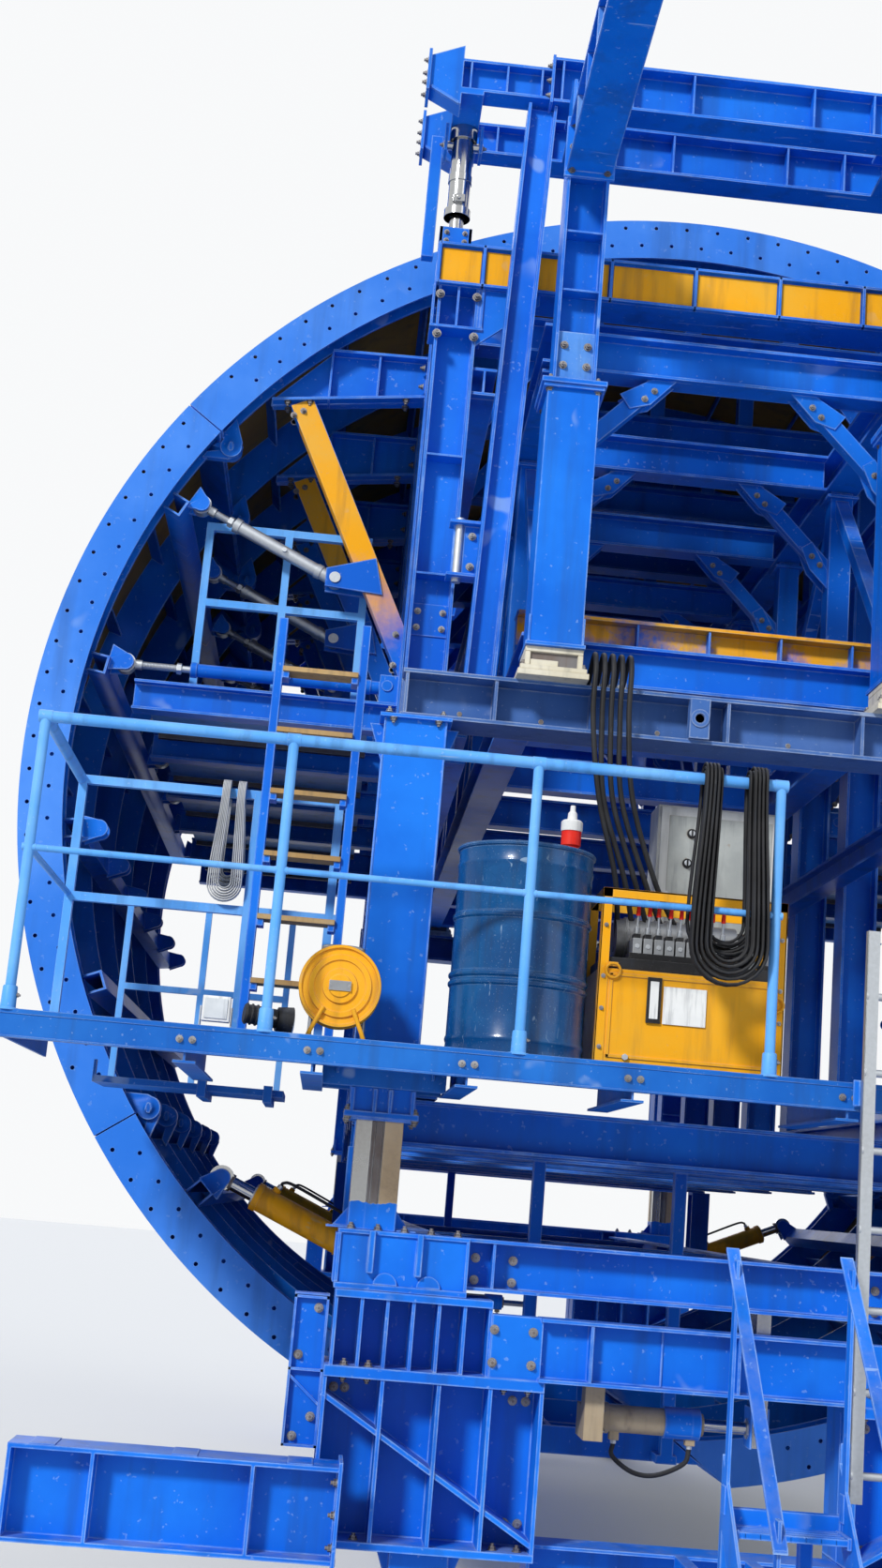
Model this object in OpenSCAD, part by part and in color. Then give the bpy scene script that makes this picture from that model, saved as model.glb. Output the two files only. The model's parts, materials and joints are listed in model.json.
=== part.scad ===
// Full-round tunnel lining formwork traveller: a steel shell of hinged forms,
// carried inside a travelling gantry on four jacked legs and four wheels.
// Millimetres, +Z up. The origin is on the floor, midway between the two ends
// and on the shell's centre plane. The working platform end is at -Y.
// A profile point is [across, up], both measured from the shell's axis.

/* [Shell] */
// Outer radius of the lining shell
shell_r = 3350; // [3250:10:3450]
// Radial depth of the form panels
shell_depth = 225; // [190:5:240]
// Length of the shell along the tunnel
shell_len = 6000; // [5400:100:6600]
// Thickness of the curved skin
skin_t = 12; // [8:1:16]
// Thickness of end plates and arch ribs
rib_t = 14; // [10:1:20]
// Height of the shell's axis above the floor
axis_h = 4100; // [4050:10:4200]
// Angle of the upper hinge joint above the horizontal
upper_joint_deg = 35.9; // [34:0.1:38]
// Angle of the lower hinge joint below the horizontal
lower_joint_deg = 34.8; // [33:0.1:36]
// Distance of both hinge lines inside the shell's inner face
hinge_set_in = 65; // [61:1:85]
// Width of the longitudinal joint between two forms
joint_gap = 6; // [4:1:10]
// Pin diameter of the form hinges
hinge_pin_d = 50; // [40:1:60]
// Distance of the invert key's end from the centre plane, left side
key_left = 820; // [800:10:860]
// Distance of the invert key's end from the centre plane, right side
key_right = 480; // [470:10:520]
// Height of the key's underside above the shell's lowest line
key_rise = 130; // [125:5:140]
// Lean of the key's end faces above the horizontal
key_lean_deg = 36; // [34:0.5:37]

/* [Form frame] */
// Distance of the first arch frame from the shell's end
frame_inset = 150; // [120:10:200]
// Distance of a form column from the centre plane
form_col_x = 1360; // [1330:10:1380]
// Depth of the form column section
form_col_w = 200; // [160:10:220]
// Distance of the end columns from the middle of the machine
end_col_y = 3930; // [3900:10:3960]
// Depth of the crown beams' underside below the shell's inner face
crown_gap = 605; // [585:10:645]
// Height of the end beams' underside above the axis
end_beam_z = 2280; // [2240:10:2320]
// Depth of the lower cross beams
sill_h = 200; // [160:10:220]
// Height of the lower cross beams' underside below the axis
sill_drop = 1850; // [1820:10:1870]

/* [Gantry] */
// Distance of the leg columns from the centre plane
leg_x = 1395; // [1370:5:1420]
// Distance of the leg columns from the middle of the machine
leg_y = 4300; // [4280:10:4340]
// Width of the square leg column
leg_w = 270; // [260:5:300]
// Wall of the leg column
leg_wall = 16; // [12:1:20]
// Width of the square leg ram
ram_w = 200; // [180:5:210]
// Depth of the middle beam
mid_beam_h = 220; // [200:10:240]
// Distance of the truss chords from the centre plane
chord_x = 850; // [820:10:880]
// Height of the upper truss chord above the axis
top_chord_z = 1850; // [1800:10:1880]
// Height of the lower truss chord above the axis
low_chord_z = 300; // [280:10:340]
// Depth of the truss chords
chord_h = 200; // [180:10:220]
// Reach of the overhead beams from the middle of the machine
overhead_reach = 6200; // [5900:50:6400]
// Height of the overhead beams' underside above the axis
overhead_z = 2700; // [2660:10:2740]
// Height of the top beams' underside above the axis
top_beam_z = 3190; // [3160:10:3220]

/* [Platform] */
// Half length of the working platform across the tunnel
deck_x = 2930; // [2800:10:3000]
// Distance of the platform's front edge from the middle of the machine
deck_front = 5050; // [5000:10:5150]
// Distance of the platform's rear edge from the middle of the machine
deck_rear = 3780; // [3740:10:3820]
// Depth of the platform's edge below the axis
deck_drop = 1490; // [1470:10:1510]
// Depth of the platform's edge channel
deck_edge = 100; // [80:5:120]
// Height of the handrail above the platform
rail_h = 1190; // [1050:10:1250]

/* [Base] */
// Height of the foot boxes' underside above the floor
foot_z = 1640; // [1620:10:1660]
// Height of the foot boxes
foot_h = 240; // [220:10:260]
// Diameter of the wheel flanges
wheel_d = 400; // [380:10:420]
// Distance of the wheels from the centre plane
wheel_x = 1090; // [1060:10:1120]
// Diameter of the wheel axles
axle_d = 80; // [70:5:90]
// Travel of the base under the feet, to each side
shift_travel = 100; // [80:10:100]

/* [Hidden] */
$fn = 64;

blue = [0.03, 0.25, 0.72];
pale_blue = [0.24, 0.52, 0.85];
yellow = [0.93, 0.62, 0.04];
cream = [0.86, 0.80, 0.62];
steel = [0.70, 0.71, 0.72];
zinc = [0.62, 0.65, 0.67];
bronze = [0.55, 0.42, 0.26];
drum_blue = [0.04, 0.20, 0.42];
grey = [0.72, 0.73, 0.73];
rubber = [0.06, 0.06, 0.06];

shell_in = shell_r - shell_depth;
hinge_r = shell_in - hinge_set_in;
crown_beam_z = shell_in - crown_gap;
half_len = shell_len / 2;
frame_count = 6;
frame_pitch = (shell_len - 2 * frame_inset) / (frame_count - 1);
frame_ys = [for (i = [0:frame_count - 1]) -half_len + frame_inset + i * frame_pitch];
touch = 0.5;          // sliding faces stand this far apart
weld_gap = 0.05;      // welded members that are cut apart in the source
fit = 0.05;           // radial clearance of a pin in its bore
web_t = 10;
flange_t = 14;

upper_hinge = hinge_r * [-cos(upper_joint_deg), sin(upper_joint_deg)];
lower_hinge = hinge_r * [-cos(lower_joint_deg), -sin(lower_joint_deg)];
upper_a = 180 - upper_joint_deg;
lower_a = 180 + lower_joint_deg;
gap_deg = joint_gap / 2 / shell_in * 180 / PI;
edge_set_back = 0.02; // degrees that the skin and ribs stop short of a form's edge plates
// Where the end plates and the ribs under the arch frames start
rib_ys = concat([-half_len, half_len - rib_t], [for (f = frame_ys) f - rib_t / 2]);
// The haunch cylinders stand at the first and the last frame
haunch_cyl_ys = [frame_ys[0], frame_ys[frame_count - 1]];

// Sections along the three axes. The stated z is the underside.
module beam_x(x0, x1, y, z, h, b, web = web_t, flange = flange_t) {
  translate([x0, y - b / 2, z]) cube([x1 - x0, b, flange]);
  translate([x0, y - b / 2, z + h - flange]) cube([x1 - x0, b, flange]);
  translate([x0, y - web / 2, z]) cube([x1 - x0, web, h]);
}

module beam_y(y0, y1, x, z, h, b, web = web_t, flange = flange_t) {
  translate([x - b / 2, y0, z]) cube([b, y1 - y0, flange]);
  translate([x - b / 2, y0, z + h - flange]) cube([b, y1 - y0, flange]);
  translate([x - web / 2, y0, z]) cube([web, y1 - y0, h]);
}

// Upright I section with its flanges facing along X
module post_z(x, y, z0, z1, w, b, web = web_t, flange = flange_t) {
  for (s = [-1, 1])
    translate([x + s * (w - flange) / 2 - flange / 2, y - b / 2, z0]) cube([flange, b, z1 - z0]);
  translate([x - w / 2, y - web / 2, z0]) cube([w, web, z1 - z0]);
}

// Web stiffeners of a beam along X, at a list of places
module stiffeners_x(xs, y, z, h, b, t = 12)
  for (x = xs) translate([x - t / 2, y - b / 2, z]) cube([t, b, h]);

// Flat or square bar between two profile points, at one place along Y
module bar(p, q, y, w, t) {
  d = q - p;
  translate([p[0], y, axis_h + p[1]]) rotate([0, -atan2(d[1], d[0]), 0])
    translate([0, -t / 2, -w / 2]) cube([norm(d), t, w]);
}

// I section between two profile points
module bar_i(p, q, y, w, b, web = web_t, flange = flange_t) {
  d = q - p;
  translate([p[0], y, axis_h + p[1]]) rotate([0, -atan2(d[1], d[0]), 0])
    translate([0, 0, -w / 2]) {
      for (z = [0, w - flange]) translate([0, -b / 2, z]) cube([norm(d), b, flange]);
      translate([0, -web / 2, 0]) cube([norm(d), web, w]);
    }
}

// Round rod between two profile points
module rod(p, q, y, d1) {
  d = q - p;
  translate([p[0], y, axis_h + p[1]]) rotate([0, 90 - atan2(d[1], d[0]), 0])
    cylinder(d = d1, h = norm(d));
}

// Cylinder along Y at a profile point
module pin(p, y0, y1, d)
  translate([p[0], y1, axis_h + p[1]]) rotate([90, 0, 0]) cylinder(d = d, h = y1 - y0);

// A flat shape in the profile plane, thick along Y
module plate(y0, t)
  translate([0, y0 + t, axis_h]) rotate([90, 0, 0]) linear_extrude(t) children();

function polar(r, a) = r * [cos(a), sin(a)];
function to(p, q, len) = p + (q - p) * len / norm(q - p);

// Ring sector between two angles, in the profile plane. Every radius shares one wedge.
module sector(r0, r1, a0, a1) {
  far = 2 * shell_r;
  third = (a1 - a0) / 3;
  intersection() {
    difference() {
      circle(r = r1, $fn = 360);
      circle(r = r0, $fn = 360);
    }
    polygon([[0, 0], polar(far, a0), polar(1.3 * far, a0 + third), polar(1.3 * far, a1 - third),
      polar(far, a1)]);
  }
}

// Skin, end plates, arch ribs and stringers of a curved form between two angles
module curved_form(a0, a1, stringers) {
  b0 = a0 + edge_set_back;
  b1 = a1 - edge_set_back;
  plate(-half_len, shell_len) sector(shell_r - skin_t, shell_r, b0, b1);
  for (y = rib_ys) plate(y, rib_t) sector(shell_in, shell_r - skin_t, b0, b1);
  form_stringers(a0, a1, stringers);
}

// Radial plates from end plate to end plate: one at each edge, the others between
module form_stringers(a0, a1, count) {
  edge = 6;
  y0 = -half_len + 2;
  for (i = [0:count + 1]) {
    a = a0 + (a1 - a0) * i / (count + 1);
    shift = i == 0 ? edge : i == count + 1 ? -edge : 0;
    deep = i == 0 || i == count + 1 ? shell_depth : 90;
    translate([0, 0, axis_h]) rotate([0, -a, 0])
      translate([shell_r - deep - 0.3, y0, shift - edge])
        cube([deep - skin_t / 2, -2 * y0, 2 * edge]);
  }
}

module on_side(side)
  if (side < 0) children();
  else mirror([1, 0, 0]) children();

module both_sides() {
  children();
  mirror([1, 0, 0]) children();
}

module both_ends() {
  children();
  mirror([0, 1, 0]) children();
}

// Undercarriage: the part that stands still
girder_x = 1000;
// High enough for the folded forms to pass below, low enough for the sills above
girder_z = foot_z + 55;
girder_h = 140;
low_beam_h = 210;
foot_in = 980;
foot_out = 1530;

module undercarriage_girders() color(blue) {
  y_end = leg_y - 150;
  both_sides() beam_y(-y_end, y_end, girder_x, girder_z, girder_h, 160);
  for (y = [-2400, 0, 2400])
    beam_x(-girder_x + 80, girder_x - 80, y, girder_z + 10, girder_h - 20, 120);
}

module foot_frames() color(blue) both_ends() {
  both_sides() {
    translate([-foot_out, -leg_y - 150, foot_z]) cube([foot_out - foot_in, 300, foot_h]);
    for (x = [-1400, -1200])
      translate([x, -leg_y - 190, foot_z + 70]) cube([24, 40, foot_h - 70]);
  }
  beam_x(-foot_in, foot_in, -leg_y, foot_z + foot_h - low_beam_h, low_beam_h, 220);
}

module leg_rams() color(bronze) both_ends() both_sides()
  translate([-leg_x - ram_w / 2, -leg_y - ram_w / 2, foot_z + foot_h])
    cube([ram_w, ram_w, 1620]);

// Cross shift cylinders: the barrel moves with the base, the rod with the feet
shift_z = 1200;
shift_y = leg_y + 20;

module shift_rods() color(steel) both_ends() {
  translate([-160, -shift_y, shift_z]) rotate([0, 90, 0]) cylinder(d = 50, h = 460);
  translate([260, -shift_y - 60, shift_z - 70])
    cube([60, 120, foot_z + foot_h - low_beam_h - shift_z + 70]);
}

module shift_barrel() difference() {
  union() {
    translate([-380, -shift_y, shift_z]) rotate([0, 90, 0]) cylinder(d = 110, h = 430);
    translate([-460, -shift_y - 70, shift_z - 80]) cube([80, 140, 130]);
    // Hanger up to the base's slide beam
    translate([-460, -leg_y - 180, shift_z - 80])
      cube([80, 110, tower_z1 + shelf_t - shift_z + 80]);
  }
  translate([-300, -shift_y, shift_z]) rotate([0, 90, 0]) cylinder(d = 50.6, h = 400);
}

module shift_barrel_front() color(bronze) shift_barrel();
module shift_barrel_rear() color(bronze) mirror([0, 1, 0]) shift_barrel();

// Base: slides sideways under the feet and carries the wheels
tower_in = 640;
tower_out = 1540;
tower_z0 = 650;
tower_z1 = 1300;
shelf_t = 40;
bracket_in = 870;
bracket_out = 1520;
base_front = leg_y + 250;
base_back = leg_y - 170;

module tower() {
  depth = base_front - base_back;
  mid = -(base_front + base_back) / 2;
  wall = 16;
  // Shelf and foot plate
  translate([-tower_out, -base_front, tower_z1]) cube([tower_out - tower_in, depth, shelf_t]);
  translate([-tower_out, -base_front, tower_z0]) cube([tower_out - tower_in, depth, 24]);
  // Web with stiffeners and a sloping flange
  translate([-tower_out, mid - wall / 2, tower_z0])
    cube([tower_out - tower_in, wall, tower_z1 - tower_z0]);
  for (x = [tower_in, 850, 1060, 1290, tower_out - wall])
    translate([-x - wall, -base_front, tower_z0]) cube([wall, depth, tower_z1 - tower_z0]);
  slope = [[-tower_out, 1230 - axis_h], [-tower_in, 700 - axis_h]];
  bar(slope[0], slope[1], mid, 20, depth - 20);
  // Ribbed bracket that the foot box slides on
  bz = tower_z1 + shelf_t;
  slide = foot_z - touch;
  translate([-bracket_out, -base_front + 20, slide - 30])
    cube([bracket_out - bracket_in, depth - 40, 30]);
  translate([-bracket_out, mid - 12, bz]) cube([bracket_out - bracket_in, 24, slide - bz]);
  for (i = [0:6])
    translate([-bracket_out + i * (bracket_out - bracket_in - 14) / 6, -base_front + 30, bz])
      cube([14, depth - 60, slide - bz]);
  // Side wing outside the tower
  translate([-tower_out - 140, mid - 60, 1000]) cube([140, 12, 600]);
  translate([-tower_out - 140, mid + 48, 1000]) cube([140, 12, 600]);
  translate([-tower_out - 140, mid - 60, 1000]) cube([140, 120, 14]);
  // Wheel yoke under the foot plate
  for (s = [-1, 1]) difference() {
    translate([-wheel_x + s * 105 - 14, -leg_y - 170, 130]) cube([28, 340, tower_z0 - 130]);
    translate([-wheel_x - 150, -leg_y, wheel_d / 2]) rotate([0, 90, 0])
      cylinder(d = axle_d + 2 * fit, h = 300);
  }
  for (s = [-1, 1])
    translate([-wheel_x - 91, -leg_y + s * 160 - 10, 430]) cube([182, 20, tower_z0 - 430]);
}

module front_towers() color(blue) both_sides() tower();
module rear_towers() color(blue) mirror([0, 1, 0]) both_sides() tower();

module base_beams() {
  beam_x(-bracket_in + 200, bracket_in - 200, -leg_y - 200, tower_z1 + shelf_t, 250, 160);
  stiffeners_x([-460, 150], -leg_y - 200, tower_z1 + shelf_t, 250, 150);
  both_sides() translate([-bracket_in, -leg_y - 240, tower_z1 + shelf_t])
    cube([210, 80, 250]);
  beam_x(-tower_in, tower_in, -leg_y - 40, tower_z0 - 200, 250, 200);
  both_sides() translate([-tower_in - 14, -leg_y - 140, tower_z0 - 200]) cube([14, 200, 200]);
}

module front_base_beams() color(blue) base_beams();
module rear_base_beams() color(blue) mirror([0, 1, 0]) base_beams();

module outriggers() color(blue) both_sides() {
  out = 2730;
  y = -base_front - 110;
  beam_x(-out, -tower_out + 110, y, 620, 360, 220, 12, 18);
  stiffeners_x([-out + 8, -out + 330, -out + 950, -tower_out + 100], y, 620, 360, 220, 14);
}

// Steps up to the base, landing on two bars that join the cross beam
stair_x0 = -50;
stair_x1 = 400;
stair_top = 1000;
stair_rise = 200;

module access_stairs() color(blue) {
  y_top = -5250;
  y_foot = y_top - stair_top + 60;
  rise = (stair_top - 60) / (y_top - y_foot);
  lean = [[1, 0, 0, 0], [0, 1, 0, 0], [0, rise, 1, 0], [0, 0, 0, 1]];
  for (x = [stair_x0, stair_x1 - 12]) {
    translate([x, y_foot, 40]) multmatrix(lean) cube([12, y_top - y_foot, 220]);
    for (y = [y_foot + 60, y_top - 90])
      translate([x, y, 150 + rise * (y - y_foot)]) cube([12, 50, 900]);
    translate([x - 19, y_foot + 40, 1010]) multmatrix(lean)
      cube([50, y_top - y_foot - 20, 12]);
  }
  for (i = [1:4], k = [0:3])
    translate([stair_x0, y_foot + i * stair_rise - 60 + k * 45, i * stair_rise + 140])
      cube([stair_x1 - stair_x0, 20, 24]);
  // Landing bar and the two bearers that join the base
  translate([stair_x0, y_top - 40, stair_top - 40]) cube([stair_x1 - stair_x0, 40, 60]);
  for (x = [stair_x0, 240]) {
    translate([x, y_top - 40, 620]) cube([50, -leg_y - 140 - y_top + 40, 80]);
    translate([x, y_top - 40, 620]) cube([50, 40, stair_top - 620]);
  }
}

// Wheels, each with its axle
module wheel(side, end) color(steel) {
  x = side * wheel_x;
  translate([x, end * leg_y, wheel_d / 2]) rotate([0, 90, 0]) {
    cylinder(d = wheel_d - 60, h = 130, center = true);
    for (s = [-1, 1]) translate([0, 0, s * 55]) cylinder(d = wheel_d, h = 20, center = true);
    cylinder(d = axle_d, h = 270, center = true);
    cylinder(d = 150, h = 176, center = true);
  }
}

module wheel_front_left() wheel(-1, -1);
module wheel_front_right() wheel(1, -1);
module wheel_rear_left() wheel(-1, 1);
module wheel_rear_right() wheel(1, 1);

// Gantry
leg_z0 = axis_h - 1770;
pad_h = 180;
mid_beam_z = axis_h;
block_h = 140;
post_x = 810;
post_y = leg_y + 60;
box_col_w = 240;
box_col_d = 280;
box_col_top = axis_h + 1610;
post_top = axis_h + 3190;

module leg_columns() color(blue) both_ends() both_sides() translate([-leg_x, -leg_y, 0]) {
  difference() {
    union() {
      translate([-leg_w / 2, -leg_w / 2, leg_z0]) cube([leg_w, leg_w, mid_beam_z - leg_z0]);
      translate([-leg_w / 2 - 22, -leg_w / 2 - 22, leg_z0 + 10])
        cube([leg_w + 44, leg_w + 44, 24]);
      for (x = [-leg_w / 2, -40, 40 - 14, leg_w / 2 - 14])
        translate([x, -leg_w / 2 - 20, leg_z0 + 20]) cube([14, leg_w + 40, 110]);
    }
    translate([leg_wall - leg_w / 2, leg_wall - leg_w / 2, leg_z0 + pad_h])
      cube([leg_w - 2 * leg_wall, leg_w - 2 * leg_wall, mid_beam_z - leg_z0 - leg_wall - pad_h]);
    // Guide pads hold the ram at the column's foot
    translate([-ram_w / 2 - touch, -ram_w / 2 - touch, leg_z0 - 1])
      cube([ram_w + 2 * touch, ram_w + 2 * touch, pad_h + 2]);
  }
}

module mid_beams() color(blue) {
  hose_bulkhead();
  both_ends() mid_beam();
}

module mid_beam() {
  half = leg_x + 75;
  beam_x(-half, half, -leg_y, mid_beam_z, mid_beam_h, 250, 12, 18);
  stiffeners_x([-half + 20, -1050, -610, 0, 610, 1050, half - 20], -leg_y, mid_beam_z,
    mid_beam_h, 240, 14);
  difference() {
    translate([-180, -leg_y - 150, mid_beam_z + 18]) cube([90, 60, mid_beam_h - 36]);
    translate([-135, -leg_y - 80, mid_beam_z + 110]) rotate([90, 0, 0]) cylinder(d = 40, h = 90);
  }
}

// Plate on the front middle beam that the hoses leave from
hose_x = [-620, -580, -540, -500, -460];
bulkhead_y = -4190;
hose_start_z = 4385;

module hose_bulkhead()
  translate([hose_x[0] - 24, bulkhead_y, mid_beam_z + mid_beam_h])
    cube([hose_x[4] - hose_x[0] + 48, 12, 110]);

module slide_blocks() color(cream) both_ends() both_sides()
  translate([-post_x - 160, -post_y - 150, mid_beam_z + mid_beam_h]) {
    cube([320, 290, 50]);
    translate([30, 20, 50]) cube([260, 250, block_h - 50]);
  }

module portal_posts() color(blue) both_ends() both_sides() {
  z0 = mid_beam_z + mid_beam_h + block_h;
  translate([-post_x - box_col_w / 2, -post_y - box_col_d / 2, z0])
    cube([box_col_w, box_col_d, box_col_top - z0]);
  translate([-post_x - 150, -post_y - 170, box_col_top]) cube([300, 330, 24]);
  post_z(-post_x, -post_y - 20, box_col_top + 24, post_top, 200, 200);
  // Leaning leg beside the box column
  bar_i([-1120, 222.3], [-1035, 3185], -leg_y + 110, 140, 120);
}

module top_beams() color(blue) both_ends() {
  for (y = [leg_y - 100, leg_y - 640]) {
    beam_x(-1000, 1000, -y, axis_h + top_beam_z, 240, 160);
    both_sides() {
      beam_x(-1440, -1000, -y, axis_h + top_beam_z + 20, 170, 120);
      plate(-y - 60, 120) polygon([[-1600, top_beam_z + 20], [-1440, top_beam_z - 60],
        [-1440, top_beam_z + 260], [-1600, top_beam_z + 190]]);
    }
  }
  both_sides() {
    translate([-1470, -leg_y + 40, axis_h + top_beam_z]) cube([140, 660, 20]);
    beam_y(-leg_y + 180, -leg_y + 560, -post_x, axis_h + top_beam_z, 200, 140);
  }
}

module overhead_beams() color(blue) both_ends() both_sides() {
  y1 = -post_y - 120;
  beam_y(-overhead_reach + 16, y1 - 16, -post_x, axis_h + overhead_z, 250, 220, 12, 18);
  translate([-post_x - 120, y1 - 16, axis_h + overhead_z - 30]) cube([240, 16, 310]);
  difference() {
    translate([-post_x - 120, -overhead_reach, axis_h + overhead_z - 20]) cube([240, 16, 290]);
    for (x = [-80, 80], z = [30, 220])
      translate([-post_x + x, -overhead_reach + 20, axis_h + overhead_z + z])
        rotate([90, 0, 0]) cylinder(d = 24, h = 30);
  }
}

truss_end = post_y - box_col_d / 2;
truss_ys = [for (i = [0:7]) (i / 7 - 0.5) * 2 * (truss_end - 120)];
post_w = 120;

// Chords, and diagonals that are cut off flush at the posts
module truss_sides() color(blue) both_sides() {
  for (z = [top_chord_z, low_chord_z])
    beam_y(-truss_end, truss_end, -chord_x, axis_h + z, chord_h, 180);
  for (i = [0:6])
    brace(truss_ys[i] + post_w / 2 + weld_gap, truss_ys[i + 1] - post_w / 2 - weld_gap, i % 2 == 0);
}

module brace(y0, y1, up) {
  w = 70;
  z0 = axis_h + low_chord_z + chord_h + 100;
  z1 = axis_h + top_chord_z - 100;
  d = [y1 - y0, z1 - z0];
  intersection() {
    translate([-chord_x - w / 2, y0, up ? z0 : z1]) rotate([(up ? 1 : -1) * atan2(d[1], d[0]), 0, 0])
      translate([0, -w, -w / 2]) cube([w, norm(d) + 2 * w, w]);
    translate([-chord_x - w, y0, z0 - w]) cube([2 * w, y1 - y0, z1 - z0 + 2 * w]);
  }
}

// Frames across the truss, and a beam that lies on the lower chords near each end
module truss_frames() color(blue) {
  for (y = truss_ys) truss_frame(y);
  both_ends()
    beam_x(-chord_x - 90, chord_x + 90, -3800, axis_h + low_chord_z + chord_h, 220, 150);
}

module truss_frame(y) {
  for (z = [top_chord_z, low_chord_z])
    beam_x(-chord_x + 90, chord_x - 90, y, axis_h + z, chord_h, 140);
  both_sides() {
    translate([-chord_x - post_w / 2, y - post_w / 2, axis_h + low_chord_z + chord_h])
      cube([post_w, post_w, top_chord_z - low_chord_z - chord_h]);
    bar([post_w / 2 - chord_x, top_chord_z - 440], [500 - chord_x, top_chord_z + 10], y, 80, 70);
  }
}

module hanger_barrels() color(steel) both_ends() both_sides()
  translate([-1400, -end_col_y, axis_h + 2700]) difference() {
    union() {
      cylinder(d = 110, h = top_beam_z - 2700);
      cylinder(d = 130, h = 40);
    }
    translate([0, 0, -1]) cylinder(d = 72.6, h = top_beam_z - 2720);
  }

// Platform and what stands on it
deck_z = axis_h - deck_drop;

module front_platform() color(pale_blue) {
  depth = deck_front - deck_rear;
  notch = col_face - form_col_w - tie_w - 30;
  difference() {
    translate([-deck_x, -deck_front, deck_z - 6]) cube([2 * deck_x, depth, 6]);
    both_sides() {
      translate([-col_face - 40, -end_col_y - 150, deck_z - 20])
        cube([col_face + 40 - notch, 400, 40]);
      translate([-leg_x - leg_w / 2, -leg_y - leg_w / 2, deck_z - 20]) cube([leg_w, leg_w, 40]);
    }
  }
  translate([-deck_x, -deck_front, deck_z - deck_edge]) cube([2 * deck_x, 12, deck_edge - 6]);
  both_sides() {
    translate([-deck_x, -deck_front + 12, deck_z - deck_edge]) cube([12, depth - 12, deck_edge - 6]);
    // Joists: the inner ones stop short of the form frame's end sill
    for (x = [2200, 1700]) beam_y(-deck_front + 12, -deck_rear, -x, deck_z - 146, 140, 90, 8, 10);
    for (x = [1090, 430])
      beam_y(-deck_front + 12, -end_col_y - 150, -x, deck_z - 146, 140, 90, 8, 10);
    // Brackets that carry the deck on the leg column
    for (y = [-leg_y - leg_w / 2 - 60, -leg_y + leg_w / 2])
      translate([-1660, y, deck_z - 146]) cube([525, 60, 140]);
    // Short lower landing beside the shell
    translate([-2700, -deck_rear, deck_z - 190]) cube([870, 480, 30]);
    translate([-2700, -deck_rear, deck_z - 190]) cube([12, 40, 100]);
    for (x = [2200, 1900])
      translate([-x - 20, -deck_rear - 60, deck_z - 220]) cube([40, 540, 30]);
    for (x = [2200, 1900])
      translate([-x - 20, -deck_rear - 60, deck_z - 220]) cube([40, 60, 74]);
  }
}

module rail_pipe(p, q, d) {
  v = q - p;
  translate(p) rotate([0, acos(v[2] / norm(v)), atan2(v[1], v[0])]) cylinder(d = d, h = norm(v), $fn = 16);
}

module platform_rails() color(pale_blue) {
  y = -deck_front + 30;
  top = deck_z + rail_h;
  step = 1006;
  for (i = [0, 1, 2, 3, 4, 5])
    rail_pipe([-deck_x + 24 + i * step, y, deck_z], [-deck_x + 24 + i * step, y, top], 42);
  rail_pipe([deck_x - 24, y, deck_z], [deck_x - 24, y, top], 42);
  for (z = [top, deck_z + 650]) {
    rail_pipe([-deck_x + 24, y, z], [-deck_x + 24 + 3 * step, y, z], z == top ? 48 : 27);
    rail_pipe([-deck_x + 24 + 4 * step, y, z], [deck_x - 24, y, z], z == top ? 48 : 27);
    for (s = [-1, 1])
      rail_pipe([s * (deck_x - 24), y, z], [s * (deck_x - 24), -deck_rear - 40, z], z == top ? 48 : 27);
  }
  // Square rail along the rear edge
  both_sides() {
    for (z = [deck_z + 1170, deck_z + 620])
      translate([-deck_x + 10, -deck_rear - 60, z]) cube([1250, 40, 40]);
    for (x = [-deck_x + 10, -2100, -1720])
      translate([x, -deck_rear - 60, deck_z]) cube([40, 40, 1200]);
    for (z = [deck_z + 700, deck_z + 280])
      translate([-2680, -deck_rear + 420, z]) cube([820, 30, 30]);
    for (x = [-2680, -2300, -1890])
      translate([x, -deck_rear + 420, deck_z - 160]) cube([30, 30, 890]);
  }
}

module platform_ladder() color(zinc) {
  // Ladder up to the upper walkway
  y = -4010;
  for (x = [-2050, -1660]) translate([x, y - 40, deck_z]) cube([20, 80, 2000]);
  for (i = [1:6]) translate([-2030, y - 60, deck_z + i * 290]) cube([370, 120, 30]);
  // Ladder down to the base
  foot = 1050;
  rung_pitch = 300;
  reach = deck_z + 600 - foot;
  for (x = [450, 850]) translate([x, -deck_front - 130, foot]) cube([50, 30, reach]);
  for (i = [0:floor((reach - 100) / rung_pitch)])
    translate([500, -deck_front - 115, foot + 100 + i * rung_pitch])
      rotate([0, 90, 0]) cylinder(d = 30, h = 350);
  for (x = [460, 860], z = [deck_z - 60])
    translate([x, -deck_front - 100, z]) cube([30, 100, 40]);
}

module power_pack() color(yellow) {
  x0 = -550;
  y0 = -4700;
  w = 790;
  d = 450;
  translate([x0, y0, deck_z]) cube([w, d, 470]);
  for (x = [0, w - 40], y = [0, d - 40]) translate([x0 + x, y0 + y, deck_z + 470]) cube([40, 40, 290]);
  for (y = [0, d - 40]) translate([x0, y0 + y, deck_z + 720]) cube([w, 40, 40]);
  for (x = [0, w - 40]) translate([x0 + x, y0 + 40, deck_z + 720]) cube([40, d - 80, 40]);
  translate([x0 + 150, y0 + 60, deck_z + 470]) cube([440, 160, 120]);
  for (i = [0:8])
    translate([x0 + 185 + i * 46, y0 + 110, deck_z + 590]) cylinder(d = 14, h = 110, $fn = 16);
}

module control_cabinet() color(grey) {
  stand = 500;
  translate([-230, -4080, deck_z + stand]) cube([580, 240, 780]);
  for (x = [-200, 290]) translate([x, -4000, deck_z]) cube([30, 60, stand]);
}

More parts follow.
